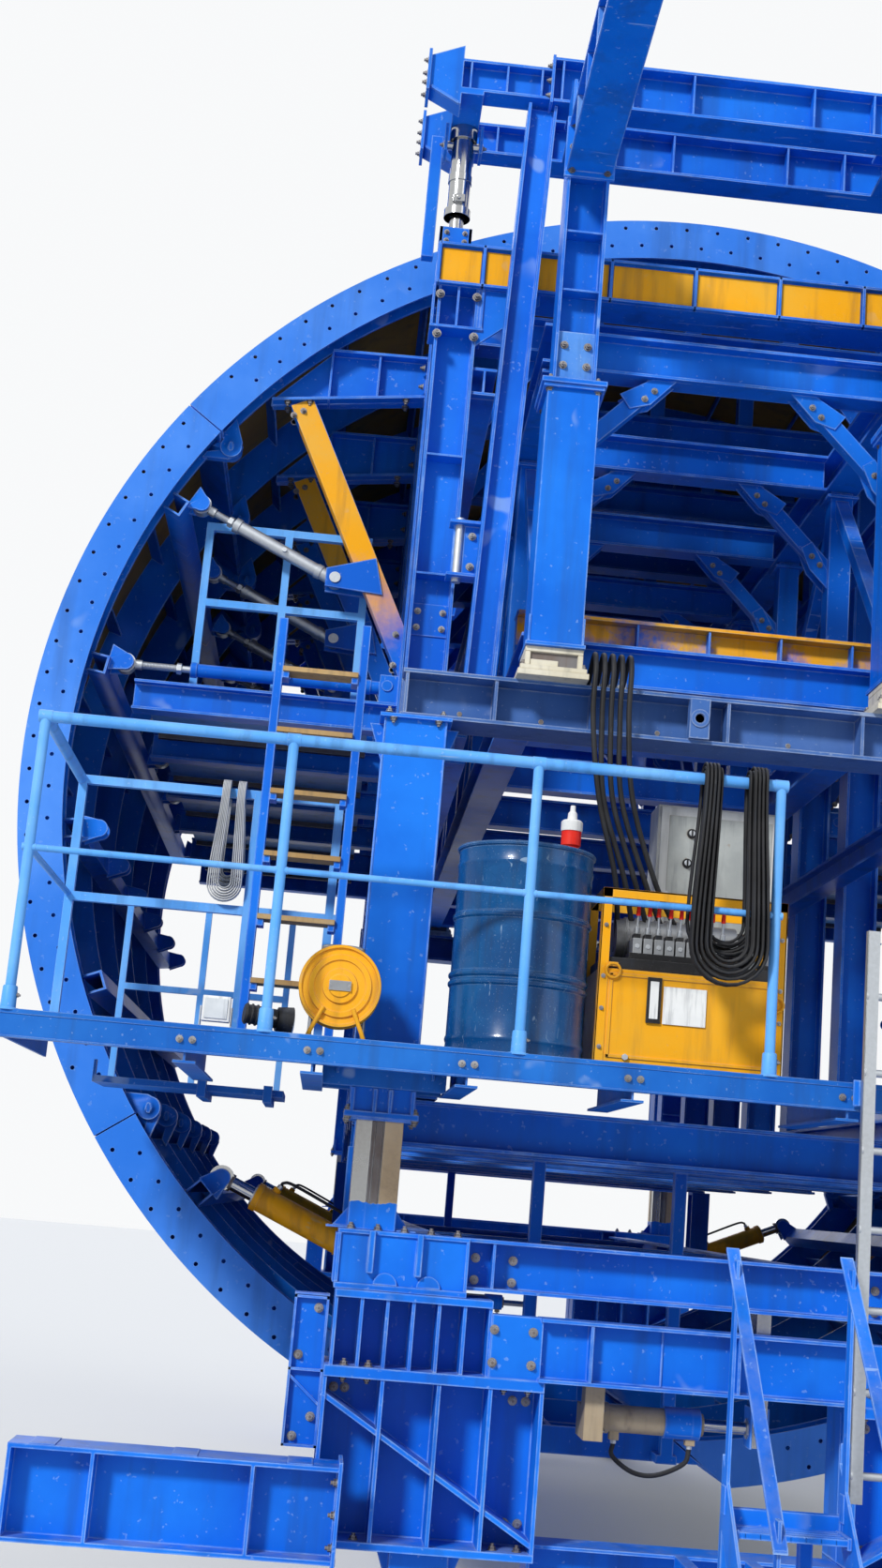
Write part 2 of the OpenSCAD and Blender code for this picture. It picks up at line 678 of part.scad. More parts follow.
module oil_drum() color(drum_blue) translate([-880, -4640, deck_z]) {
  cylinder(d = 572, h = 880);
  for (z = [0, 290, 580, 868]) translate([0, 0, z]) cylinder(d = 590, h = 12);
}

module cable_reel() color(yellow) translate([-1620, -4760, deck_z]) {
  translate([0, 0, 235]) rotate([90, 0, 0]) cylinder(d = 340, h = 30);
  translate([0, 90, 235]) rotate([90, 0, 0]) cylinder(d = 220, h = 90);
  translate([0, 120, 235]) rotate([90, 0, 0]) cylinder(d = 340, h = 30);
  for (s = [-1, 1]) translate([s * 110 - 10, 0, 0]) cube([20, 90, 150]);
}

// Hanks of cable, hung over the front rail and over the rear rail
module long_hole(w, z0, z1) {
  for (z = [z0 + w / 2, z1 - w / 2]) translate([0, z]) circle(d = w);
  translate([-w / 2, z0 + w / 2]) square([w, z1 - z0 - w]);
}

module hank(x0, x1, y, z0, z1, slot, wall)
  translate([x0, y, 0]) rotate([90, 0, 90]) linear_extrude(x1 - x0) difference() {
    long_hole(slot + 2 * wall, z0, z1);
    long_hole(slot, z0 + wall, z1 - wall);
  }

module cable_hanks() color(rubber) {
  rail_z = deck_z + rail_h;
  hank(-250, 80, 30 - deck_front, rail_z - 860, rail_z + 74.5, 49, 50);
  hank(-2280, -2110, -deck_rear - 40, rail_z - 525, rail_z + 63, 60, 35);
}

// Hoses from the bulkhead down to the power pack, each by its own points
hose_d = 24;
hose_gap = 0.3;
hose_top_y = [-4250, -4400, -4490, -4500];
hose_top_z = [4385, 4470, 4390, 4150];
hose_mid_x = [-570, -550, -510, -470, -420];
hose_low_x = [-470, -430, -385, -340, -295];
hose_end_x = [-440, -370, -300, -230, -160];
pack_top_z = deck_z + 470;

function hose_points(i) = concat([for (y = [hose_gap, 20]) [hose_x[i], bulkhead_y - y, hose_start_z]],
  [for (k = [0:3]) [hose_x[i], hose_top_y[k], hose_top_z[k]]],
  [[hose_mid_x[i], -4490, 3800], [hose_low_x[i], -4460, 3450], [hose_end_x[i], -4400, 3220],
   [hose_end_x[i], -4390, 3140], [hose_end_x[i], -4390, pack_top_z + 20],
   [hose_end_x[i], -4390, pack_top_z + hose_gap]]);

function unit(v) = v / norm(v);
function spline(a, b, c, d, t) = 0.5 * (2 * b + (c - a) * t + (2 * a - 5 * b + 4 * c - d) * t * t
  + (3 * b - a - 3 * c + d) * t * t * t);
function smooth(p, n) = let (last = len(p) - 1,
    e = concat([2 * p[0] - p[1]], p, [2 * p[last] - p[last - 1]]))
  concat([for (i = [0:last - 1], k = [0:n - 1]) spline(e[i], e[i + 1], e[i + 2], e[i + 3], k / n)],
    [p[last]]);

// Round tube along points that never run along X
module tube(points, d, sides) {
  last = len(points) - 1;
  turn = 360 / sides;
  rings = [for (i = [0:last])
    let (t = unit(points[min(i + 1, last)] - points[max(i - 1, 0)]), u = unit(cross(t, [1, 0, 0])))
    for (k = [0:sides - 1]) points[i] + d / 2 * (cos(k * turn) * u + sin(k * turn) * cross(t, u))];
  walls = [for (i = [0:last - 1], k = [0:sides - 1]) let (j = (k + 1) % sides)
    [i * sides + k, i * sides + j, (i + 1) * sides + j, (i + 1) * sides + k]];
  polyhedron(rings, concat(walls, [[for (k = [sides - 1:-1:0]) k]],
    [[for (k = [0:sides - 1]) last * sides + k]]));
}

module hose_lines() color(rubber)
  for (i = [0:4]) tube(smooth(hose_points(i), 3), hose_d, 8);

// Form frame: hangs in the gantry and carries the forms
col_top = axis_h + crown_beam_z;
col_foot = axis_h - sill_drop + sill_h;

col_face = form_col_x + form_col_w / 2;
tie_w = 120;
tie_h = 140;

module form_columns() color(blue) both_sides() {
  for (y = frame_ys) post_z(-form_col_x, y, col_foot, col_top, form_col_w, 180);
  both_ends() post_z(-form_col_x, -end_col_y, col_foot, axis_h + end_beam_z, form_col_w, 200);
}

// Ties along the inner faces of the columns
module form_ties() color(blue) both_sides()
  for (z = [crown_beam_z - 780, -100, sill_h - sill_drop + 10])
    beam_y(-end_col_y - 80, end_col_y + 80, form_col_w - col_face + tie_w / 2, axis_h + z,
      tie_h, tie_w);

module form_beams() color(blue) {
  half = form_col_x + 100;
  for (y = frame_ys) {
    beam_x(-half, half, y, col_top, 200, 160);
    // Props between the crown beam and the arch rib
    for (x = [-1100, -550, 0, 550, 1100]) {
      roof = axis_h + sqrt(pow(shell_in, 2) - pow(abs(x) + 45, 2));
      translate([x - 45, y - 45, col_top + 200]) cube([90, 90, roof - col_top - 200.3]);
    }
    face = -form_col_x + form_col_w / 2;
    both_sides() plate(y + 54, 12) polygon([[-905, crown_beam_z], [-800, crown_beam_z],
      [face, crown_beam_z - 640], [face, crown_beam_z - 492]]);
  }
  both_ends() {
    translate([-1480, -end_col_y - 110, axis_h + end_beam_z]) cube([2960, 220, 220]);
    both_sides()
      translate([-form_col_x - 70, -end_col_y + 100, col_top - 220])
        cube([140, end_col_y - 100 + frame_ys[0] - 90, 120]);
  }
}

module form_sills() color(blue) {
  z = axis_h - sill_drop;
  half = form_col_x + 100;
  for (y = frame_ys) beam_x(-half, half, y, z, sill_h, 160);
  both_ends() beam_x(-half, half, -end_col_y, z, sill_h, 180);
}

// Points of the jacks and cylinders on the left side
eye_depth = 175;
upper_pin = [-1850, 1110];
upper_eye = polar(shell_in - 145, 150.77);
mid_pin = [-1520, 540];
mid_eye = polar(shell_in - eye_depth, 169.45);
barrel_pin = polar(shell_in - 375, 238.68);
haunch_eye = polar(shell_in - eye_depth, 224.2);
// Shoulder and tip of the upper cantilevers, close inside the shell
arm_shoulder = polar(shell_in - 6, 129.4);
arm_tip = polar(shell_in - 18, 137.5);
arm_h = 240;
// Middle cantilevers
mid_arm_z = 290;
mid_arm_h = 160;
mid_arm_end = sqrt(pow(shell_in - 250, 2) - pow(mid_arm_z + mid_arm_h, 2));

module form_brackets() color(blue) both_sides() for (y = frame_ys) {
  // Upper cantilever to the crown form's edge
  root = [-col_face, crown_beam_z - 100];
  foot = root - [0, arm_h];
  plate(y - 6, 12) polygon([root, arm_shoulder, arm_tip, arm_tip - [0, 30], foot]);
  bar(root - [3, 7], arm_shoulder - [0, 7], y, 14, 140);
  bar(foot + [-3, 7], arm_tip + [5, -15], y, 14, 140);
  // Knee brace with the lug of the upper jack
  difference() {
    union() {
      plate(y - 45, 90) polygon([arm_tip + [112, -33], arm_tip + [228, 23],
        [-col_face, 879], [-col_face, 590]]);
      for (s = [-1, 1]) plate(y + s * 50 - 8, 16) polygon([[-1640, 1240], [-1900, 1160],
        [-1900, 1060], [-1590, 1040]]);
    }
    pin(upper_pin, y - 100, y + 100, 40);
    plate(y - 42, 84) polygon([[-1730, 1260], [-1920, 1260], [-1920, 1000], [-1730, 1000]]);
  }
  pin(upper_pin, y - 58, y + 58, 40);
  // Middle cantilever
  beam_x(-mid_arm_end, -col_face, y, axis_h + mid_arm_z, mid_arm_h, 120);
  // Lug of the middle jack
  difference() {
    for (s = [-1, 1]) translate([-1560, y + s * 50 - 8, axis_h + mid_arm_z + mid_arm_h])
      cube([100, 16, 150]);
    pin(mid_pin, y - 100, y + 100, 40);
  }
  pin(mid_pin, y - 58, y + 58, 40);
}

// Planks between the middle cantilevers, with a handrail at both ends
module mid_platforms() color(pale_blue) both_sides() {
  plank_t = 45;
  top = axis_h + mid_arm_z + mid_arm_h;
  x0 = 40 - mid_arm_end;
  x1 = -1600;
  for (i = [0:frame_count - 2])
    translate([x0, frame_ys[i] + 60, top - plank_t]) cube([x1 - x0, frame_pitch - 120, plank_t]);
  rail_x0 = x0 + 230;
  rail_x1 = x1 - 110;
  both_ends() {
    y = frame_ys[0] + 90;
    for (x = [rail_x0, (rail_x0 + rail_x1) / 2, rail_x1])
      translate([x, y, top]) cube([40, 40, 950]);
    for (z = [480, 910]) translate([rail_x0, y, top + z]) cube([rail_x1 - rail_x0, 40, 40]);
  }
}

module crown_form() color(blue) {
  curved_form(upper_joint_deg + gap_deg, 180 - upper_joint_deg - gap_deg, 11);
  both_sides() for (y = frame_ys) {
    for (s = [-1, 1]) hinge_lug(upper_hinge, y + s * 34 - 9, 18, -1);
    pin(upper_hinge, y - 50, y + 50, hinge_pin_d);
  }
}

// Lug round a hinge line, joined to the form on one side of the joint
module hinge_lug(p, y0, t, turn) {
  a = atan2(p[1], p[0]);
  plate(y0, t) union() {
    translate(p) circle(r = 58);
    intersection() {
      rotate(a) polygon([[hinge_r, 0], [hinge_r + 40, turn * 6], [shell_in + 30, turn * 6],
        [shell_in + 30, turn * 150], [hinge_r - 30, turn * 60], [hinge_r - 58, turn * 10]]);
      circle(r = shell_in + 20, $fn = 360);
    }
  }
}

module side_form(side) color(blue) on_side(side) difference() {
  union() {
    curved_form(upper_a + gap_deg, lower_a - gap_deg, 7);
    for (y = frame_ys) {
      hinge_lug(upper_hinge, y - 24, 48, 1);
      for (s = [-1, 1]) hinge_lug(lower_hinge, y + s * 34 - 9, 18, -1);
      pin(lower_hinge, y - 50, y + 50, hinge_pin_d);
      clevis(upper_eye, y, 40);
      clevis(mid_eye, y, 40);
      clevis(polar(shell_in - eye_depth, 187), y, 40);
    }
    for (a = [152.5, 170.5, 187, 202]) waler(a);
  }
  for (y = frame_ys) pin(upper_hinge, y - 25, y + 25, hinge_pin_d + 2 * fit);
}

// Longitudinal waler just inside the ribs
module waler(a)
  translate([0, 0, axis_h]) rotate([0, -a, 0]) {
    translate([shell_in - 100, -half_len + 60, -50]) cube([12, shell_len - 120, 100]);
    for (s = [-1, 1])
      translate([shell_in - 100, -half_len + 60, s * 45 - 5]) cube([100.5, shell_len - 120, 10]);
  }

// Two plates that point at the shell's axis, with a cross pin
module clevis(p, y, d) {
  a = atan2(p[1], p[0]);
  for (s = [-1, 1]) plate(y + s * 50 - 8, 16) union() {
    translate(p) circle(d = 90);
    rotate(a) polygon([[norm(p), -45], [shell_in - 90, -70], [shell_in - 90, 70], [norm(p), 45]]);
  }
  pin(p, y - 58, y + 58, d);
}

module side_form_left() side_form(-1);
module side_form_right() side_form(1);

// The lower form, from the lower hinge to the leaning face of the invert key
module haunch_zone(x_end) {
  tip = [-x_end, -sqrt(pow(shell_r, 2) - pow(x_end, 2))];
  lean = [cos(key_lean_deg), sin(key_lean_deg)];
  a = lower_a + gap_deg;
  polygon([polar(shell_in - 700, a), polar(shell_r + 450, a), polar(shell_r + 1250, a + 15),
    tip - 900 * lean, tip, tip + 560 * lean]);
}

module haunch_form(side, x_end) color(blue) on_side(side) difference() {
  union() {
    plate(-half_len, shell_len) intersection() {
      sector(shell_r - skin_t, shell_r, 205, 275);
      haunch_zone(x_end);
    }
    for (y = rib_ys)
      plate(y, rib_t) intersection() {
        sector(shell_in, shell_r - skin_t + 1, 205, 275);
        haunch_zone(x_end);
      }
    // Face plate along the leaning end
    plate(-half_len, shell_len) intersection() {
      sector(shell_in, shell_r - 2, 205, 275);
      difference() {
        haunch_zone(x_end);
        translate([-16 / sin(key_lean_deg), 0]) haunch_zone(x_end);
      }
    }
    a1 = 180 + acos(x_end / shell_r) - 8;
    for (i = [0:4]) {
      a = lower_a + 2.2 * (i == 0 ? 0.15 : 1) + (a1 - lower_a) * i / 4 - (i == 0 ? 0 : 2.2);
      translate([0, 0, axis_h]) rotate([0, -a, 0])
        translate([shell_r - 90, -half_len, -5]) cube([90 - skin_t / 2, shell_len, 10]);
    }
    for (y = frame_ys) hinge_lug(lower_hinge, y - 24, 48, 1);
    waler(224);
    for (y = haunch_cyl_ys) clevis(haunch_eye, y, 40);
  }
  for (y = frame_ys) pin(lower_hinge, y - 25, y + 25, hinge_pin_d + 2 * fit);
}

module haunch_form_left() haunch_form(-1, key_left);
module haunch_form_right() haunch_form(1, key_right);

// Flat key between the two lower forms
key_z = key_rise - shell_r;
key_h = 130;

module key_profile() {
  lean = 1 / tan(key_lean_deg);
  play = joint_gap / sin(key_lean_deg);
  left = -key_left + (key_z + sqrt(pow(shell_r, 2) - pow(key_left, 2))) * lean + play;
  right = key_right - (key_z + sqrt(pow(shell_r, 2) - pow(key_right, 2))) * lean - play;
  polygon([[left, key_z], [right, key_z], [right - key_h * lean, key_z + key_h],
    [left + key_h * lean, key_z + key_h]]);
}

module invert_key() color(blue) {
  plate(-half_len, shell_len) intersection() {
    key_profile();
    translate([-2000, key_z]) square([4000, skin_t]);
  }
  for (y = rib_ys) plate(y, rib_t) key_profile();
  for (x = [-420, 60])
    translate([x, -half_len, axis_h + key_z]) cube([20, shell_len, key_h]);
}

// What hangs under the sills: the key's hangers and the haunch cylinders' brackets
module lower_hangers() color(blue) {
  both_ends() key_hanger(half_len + 120);
  haunch_brackets();
}

module haunch_brackets()
  for (y = haunch_cyl_ys) both_sides() {
    for (s = [-1, 1]) plate(y + s * 85 - 8, 16) translate([barrel_pin[0], 0])
      polygon([[-70, -sill_drop - 10], [70, -sill_drop - 10], [70, barrel_pin[1] - 50],
        [-70, barrel_pin[1] - 70]]);
    translate([barrel_pin[0] - 70, y - 93, axis_h - sill_drop - 20.3]) cube([140, 186, 20]);
    pin(barrel_pin, y - 93, y + 93, 50);
  }

module key_hanger(y) {
  beam_x(-form_col_x + 60, form_col_x - 60, -y, axis_h - sill_drop, sill_h, 120);
  // Packing under the lower ties
  both_sides() translate([form_col_w - col_face, -y - 60, col_foot]) cube([tie_w, 120, 9.7]);
  for (x = [-560, 140]) {
    translate([x - 30, -y - 30, axis_h + key_z + 10]) cube([60, 60, -key_z - sill_drop - 10]);
    translate([x - 50, -y - 30, axis_h + key_z + 10]) cube([100, 150 - touch, 40]);
  }
}

module hanger_rods() color(steel) both_ends() both_sides()
  translate([-1400, -end_col_y, axis_h + end_beam_z + 220]) {
    cylinder(d = 72, h = 3100 - end_beam_z - 220);
    cylinder(d = 150, h = 30);
    cylinder(d = 110, h = 120);
  }

// Pin distances of the screw jacks and the haunch cylinders
upper_len = norm(upper_eye - upper_pin);
mid_len = norm(mid_eye - mid_pin);
haunch_len = norm(haunch_eye - barrel_pin);
haunch_travel = 113;
haunch_eye_d = 124;

// Screw jack: a sleeve on the frame's pin, and a screw that ends at the form's pin
module sleeve(p, q, y, len, d) difference() {
  union() {
    pin(p, y - 30, y + 30, 84);
    rod(to(p, q, 40), to(p, q, len), y, d);
  }
  pin(p, y - 31, y + 31, 40 + 2 * fit);
  rod(to(p, q, 110), to(p, q, len + 5), y, 36.6);
}

module screw(p, q, y, from) difference() {
  union() {
    rod(to(p, q, from), to(q, p, 50), y, 36);
    pin(q, y - 30, y + 30, 104);
  }
  pin(q, y - 31, y + 31, 60);
}

module upper_sleeves(side) color(steel) on_side(side)
  for (y = frame_ys) sleeve(upper_pin, upper_eye, y, upper_len - 205, 70);
module upper_screws(side) color(steel) on_side(side)
  for (y = frame_ys) screw(upper_pin, upper_eye, y, upper_len - 405);
module mid_sleeves(side) color(blue) on_side(side)
  for (y = frame_ys) sleeve(mid_pin, mid_eye, y, mid_len - 340, 70);
module mid_screws(side) color(steel) on_side(side)
  for (y = frame_ys) screw(mid_pin, mid_eye, y, mid_len - 680);
module upper_sleeves_left() upper_sleeves(-1);
module upper_sleeves_right() upper_sleeves(1);
module upper_screws_left() upper_screws(-1);
module upper_screws_right() upper_screws(1);
module mid_sleeves_left() mid_sleeves(-1);
module mid_sleeves_right() mid_sleeves(1);
module mid_screws_left() mid_screws(-1);
module mid_screws_right() mid_screws(1);

// Haunch cylinders
barrel_end = haunch_len - haunch_travel - haunch_eye_d / 2 - 10;

module haunch_barrels(side) color(yellow) on_side(side) for (y = haunch_cyl_ys) difference() {
  union() {
    pin(barrel_pin, y - 70, y + 70, 110);
    rod(to(barrel_pin, haunch_eye, 40), to(barrel_pin, haunch_eye, barrel_end), y, 130);
  }
  pin(barrel_pin, y - 71, y + 71, 50 + 2 * fit);
  rod(to(barrel_pin, haunch_eye, 120), to(barrel_pin, haunch_eye, haunch_len), y, 70.6);
}

module haunch_rods(side) color(steel) on_side(side) for (y = haunch_cyl_ys) difference() {
  union() {
    rod(to(barrel_pin, haunch_eye, haunch_len - 468), to(haunch_eye, barrel_pin, 50), y, 70);
    pin(haunch_eye, y - 30, y + 30, haunch_eye_d);
  }
  pin(haunch_eye, y - 31, y + 31, 80);
}

module haunch_barrels_left() haunch_barrels(-1);
module haunch_barrels_right() haunch_barrels(1);
module haunch_rods_left() haunch_rods(-1);
module haunch_rods_right() haunch_rods(1);

undercarriage_girders();
foot_frames();
leg_rams();
shift_rods();
front_towers();
front_base_beams();
outriggers();
access_stairs();
shift_barrel_front();
rear_towers();
rear_base_beams();
shift_barrel_rear();
wheel_front_left();
wheel_front_right();
wheel_rear_left();
wheel_rear_right();
leg_columns();
mid_beams();
slide_blocks();
portal_posts();
top_beams();
overhead_beams();
truss_sides();
truss_frames();
hanger_barrels();
front_platform();
platform_rails();
platform_ladder();
power_pack();
control_cabinet();
oil_drum();
cable_reel();
cable_hanks();
hose_lines();
form_columns();
form_ties();
form_beams();
form_sills();
form_brackets();
mid_platforms();
crown_form();
invert_key();
lower_hangers();
hanger_rods();
side_form_left();
side_form_right();
haunch_form_left();
haunch_form_right();
upper_sleeves_left();
upper_screws_left();
upper_sleeves_right();
upper_screws_right();
mid_sleeves_left();
mid_screws_left();
mid_sleeves_right();
mid_screws_right();
haunch_barrels_left();
haunch_rods_left();
haunch_barrels_right();
haunch_rods_right();
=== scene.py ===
"""Looks of a full-round tunnel lining formwork traveller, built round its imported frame."""

import json
import math
import random

import bmesh
import bpy
from mathutils import Matrix, Vector


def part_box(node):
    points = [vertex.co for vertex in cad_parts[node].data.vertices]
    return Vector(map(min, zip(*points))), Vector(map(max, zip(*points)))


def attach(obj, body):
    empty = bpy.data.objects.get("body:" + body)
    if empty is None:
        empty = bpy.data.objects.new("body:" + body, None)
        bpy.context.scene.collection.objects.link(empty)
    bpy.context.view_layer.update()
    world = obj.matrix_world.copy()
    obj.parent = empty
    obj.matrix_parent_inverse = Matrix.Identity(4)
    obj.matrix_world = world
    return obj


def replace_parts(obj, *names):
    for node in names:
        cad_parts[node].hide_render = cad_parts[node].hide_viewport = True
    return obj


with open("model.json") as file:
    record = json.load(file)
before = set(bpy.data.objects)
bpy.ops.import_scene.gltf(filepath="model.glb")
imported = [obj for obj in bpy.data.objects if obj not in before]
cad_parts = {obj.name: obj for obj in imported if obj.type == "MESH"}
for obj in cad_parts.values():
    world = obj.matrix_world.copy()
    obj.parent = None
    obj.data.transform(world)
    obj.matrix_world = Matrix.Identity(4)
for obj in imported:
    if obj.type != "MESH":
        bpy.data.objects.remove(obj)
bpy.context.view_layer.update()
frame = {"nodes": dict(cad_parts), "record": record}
NODES = frame["nodes"]
RECORD = frame["record"]

# Driving sizes of the machine, in metres

AXIS_Z = 4.1
SHELL_R = 3.35
HALF_LEN = 3.0
FRAME_YS = [-2.85 + 1.14 * i for i in range(6)]
DECK_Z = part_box("oil_drum")[0].z
LEG_X = 1.395
LEG_Y = 4.3


def both(x):
    return (-x, x)


SIDES = (("left", -1), ("right", 1))
ENDS = (("front", -1), ("rear", 1))
QUARTERS = [(sx, sy) for sx in both(1) for sy in both(1)]
CORNERS = [(sx * LEG_X, sy * LEG_Y, sx, sy) for sx, sy in QUARTERS]


# Camera: it stands low in front of the platform and looks up along the tunnel

CAMERA_AT = Vector((-1.630, -12.462, 2.031))
FOCAL_PIXELS = 1998.1
PICTURE_HEIGHT = 1672
PITCH = math.radians(12.441)
ROLL = math.radians(4.861)
YAW = math.radians(2.625)


def add_camera():
    data = bpy.data.cameras.new("view")
    data.sensor_width = 36
    data.lens = FOCAL_PIXELS * data.sensor_width / PICTURE_HEIGHT
    data.clip_end = 200
    camera = bpy.data.objects.new("view", data)
    bpy.context.scene.collection.objects.link(camera)
    look = Vector((math.sin(YAW) * math.cos(PITCH), math.cos(YAW) * math.cos(PITCH), math.sin(PITCH)))
    level = Vector((math.cos(YAW), -math.sin(YAW), 0))
    drop = look.cross(level)
    right = math.cos(ROLL) * level - math.sin(ROLL) * drop
    down = math.sin(ROLL) * level + math.cos(ROLL) * drop
    turn = Matrix((right, -down, -look)).transposed().to_4x4()
    camera.matrix_world = Matrix.Translation(CAMERA_AT) @ turn
    bpy.context.scene.camera = camera


add_camera()


# Nodes of shader and geometry trees


def feed(tree, socket, value):
    """Links a socket, or sets a plain value on one."""
    if isinstance(value, bpy.types.NodeSocket):
        tree.links.new(value, socket)
    else:
        socket.default_value = value


def node(tree, kind, inputs=None, **settings):
    made = tree.nodes.new(kind)
    for key, value in settings.items():
        setattr(made, key, value)
    for key, value in (inputs or {}).items():
        feed(tree, made.inputs[key], value)
    return made


def maths(tree, operation, *values, clamp=False):
    made = node(tree, "ShaderNodeMath", dict(enumerate(values)), operation=operation)
    made.use_clamp = clamp
    return made.outputs[0]


def ramp(tree, value, low, high, start=0.0, end=1.0):
    """A soft step of a value between low and high."""
    return node(tree, "ShaderNodeMapRange", {0: value, 1: low, 2: high, 3: start, 4: end},
                interpolation_type="SMOOTHSTEP").outputs[0]


def mixed(tree, share, first, second, blend="MIX"):
    """Two colours mixed by a share."""
    return node(tree, "ShaderNodeMix", {0: share, 6: first, 7: second}, data_type="RGBA",
                blend_type=blend).outputs[2]


def noise(tree, where, scale, detail=3.0, roughness=0.55):
    return node(tree, "ShaderNodeTexNoise",
                {"Vector": where, "Scale": scale, "Detail": detail, "Roughness": roughness}).outputs[0]


def stretched(tree, where, scale, turn=(0, 0, 0)):
    return node(tree, "ShaderNodeMapping", {"Vector": where, "Scale": scale, "Rotation": turn}).outputs[0]


def place(tree):
    return node(tree, "ShaderNodeTexCoord").outputs["Object"]


def group(name, inputs, outputs):
    """A shader node group with named sockets. Gives the tree, what comes in and what goes out."""
    tree = bpy.data.node_groups.new(name, "ShaderNodeTree")
    for label, kind, value in inputs:
        socket = tree.interface.new_socket(label, in_out="INPUT", socket_type="NodeSocket" + kind)
        socket.default_value = value
    for label, kind in outputs:
        tree.interface.new_socket(label, in_out="OUTPUT", socket_type="NodeSocket" + kind)
    return tree, tree.nodes.new("NodeGroupInput").outputs, tree.nodes.new("NodeGroupOutput").inputs


def use(tree, made, **inputs):
    """Places a node group in a tree with its own values."""
    placed = node(tree, "ShaderNodeGroup", node_tree=made)
    for label, value in inputs.items():
        feed(tree, placed.inputs[label.replace("_", " ")], value)
    return placed.outputs


# Effects that several finishes share


def edge_rub_group():
    """Where handling has rubbed the edges of a plate or a flange."""
    tree, given, out = group("Edge rub", [("Width", "Float", 0.01), ("Amount", "Float", 1.0),
                                          ("Grain", "Float", 9.0)], [("Mask", "Float")])
    rounded = node(tree, "ShaderNodeBevel", {"Radius": given["Width"]}, samples=4).outputs[0]
    flat = node(tree, "ShaderNodeNewGeometry").outputs["Normal"]
    same = node(tree, "ShaderNodeVectorMath", {0: rounded, 1: flat}, operation="DOT_PRODUCT").outputs["Value"]
    edge = ramp(tree, maths(tree, "SUBTRACT", 1.0, same), 0.015, 0.16)
    patchy = ramp(tree, noise(tree, place(tree), given["Grain"], 4.0), 0.36, 0.62, 0.35, 1.0)
    feed(tree, out["Mask"], maths(tree, "MULTIPLY", maths(tree, "MULTIPLY", edge, patchy), given["Amount"], clamp=True))
    return tree


def weather_group():
    """Fading in large clouds, streaks that run down, specks and thin scratches."""
    tree, given, out = group("Weather", [("Scale", "Float", 1.0)],
                             [("Fade", "Float"), ("Streak", "Float"), ("Speck", "Float"), ("Scratch", "Float")])
    spot = node(tree, "ShaderNodeVectorMath", {0: place(tree), "Scale": given["Scale"]}, operation="SCALE").outputs[0]
    feed(tree, out["Fade"], noise(tree, spot, 0.9, 5.0, 0.6))
    feed(tree, out["Streak"], ramp(tree, noise(tree, stretched(tree, spot, (7, 7, 0.7)), 1.0, 4.0), 0.48, 0.72))
    feed(tree, out["Speck"], ramp(tree, noise(tree, spot, 38.0, 2.0), 0.66, 0.72))
    line = noise(tree, stretched(tree, spot, (3, 46, 3), (0.5, 0.8, 0.3)), 1.0, 2.0)
    where = ramp(tree, noise(tree, spot, 1.7, 2.0), 0.5, 0.62)
    feed(tree, out["Scratch"], maths(tree, "MULTIPLY", ramp(tree, line, 0.66, 0.7), where))
    return tree


def dust_group():
    """Grey rock dust that settles on what faces up."""
    tree, given, out = group("Dust fall", [("Amount", "Float", 0.5)], [("Mask", "Float")])
    facing = node(tree, "ShaderNodeNewGeometry").outputs["Normal"]
    up = node(tree, "ShaderNodeSeparateXYZ", {0: facing}).outputs[2]
    cloud = ramp(tree, noise(tree, place(tree), 5.0, 5.0, 0.65), 0.36, 0.66)
    lying = maths(tree, "MULTIPLY", ramp(tree, up, 0.45, 0.95), cloud)
    feed(tree, out["Mask"], maths(tree, "MULTIPLY", lying, given["Amount"], clamp=True))
    return tree


def paint_group(edge_rub, weather, dust):
    """A coat of paint: faded, rubbed at its edges, scratched and dusty."""
    tree, given, out = group(
        "Worn paint",
        [("Paint", "Color", (0, 0, 0, 1)), ("Faded", "Color", (0, 0, 0, 1)), ("Rubbed", "Color", (0, 0, 0, 1)),
         ("Wear", "Float", 0.6), ("Edge width", "Float", 0.01), ("Dust", "Float", 0.4), ("Scale", "Float", 1.0),
         ("Gloss", "Float", 0.4)],
        [("Color", "Color"), ("Roughness", "Float"), ("Height", "Float")])
    rub = use(tree, edge_rub, Width=given["Edge width"], Amount=given["Wear"])["Mask"]
    marks = use(tree, weather, Scale=given["Scale"])
    fallen = use(tree, dust, Amount=given["Dust"])["Mask"]
    fade = ramp(tree, marks["Fade"], 0.35, 0.72)
    coat = mixed(tree, fade, given["Paint"], given["Faded"])
    grime = maths(tree, "MULTIPLY", marks["Streak"], 0.28)
    coat = mixed(tree, grime, coat, (0.02, 0.03, 0.05, 1))
    lost = rub
    for mark, share in (("Scratch", 0.7), ("Speck", 0.35)):
        worn = maths(tree, "MULTIPLY", marks[mark], maths(tree, "MULTIPLY", given["Wear"], share))
        lost = maths(tree, "MAXIMUM", lost, worn)
    coat = mixed(tree, lost, coat, given["Rubbed"])
    coat = mixed(tree, maths(tree, "MULTIPLY", fallen, 0.75), coat, (0.36, 0.37, 0.38, 1))
    feed(tree, out["Color"], coat)
    rough = maths(tree, "ADD", given["Gloss"], maths(tree, "MULTIPLY", fade, 0.14))
    rough = maths(tree, "ADD", rough, maths(tree, "MULTIPLY", maths(tree, "MAXIMUM", lost, fallen), 0.35), clamp=True)
    feed(tree, out["Roughness"], rough)
    ripple = maths(tree, "MULTIPLY", noise(tree, place(tree), 24.0, 2.0), 0.25)
    feed(tree, out["Height"], maths(tree, "SUBTRACT", ripple, maths(tree, "MULTIPLY", lost, 0.6)))
    return tree


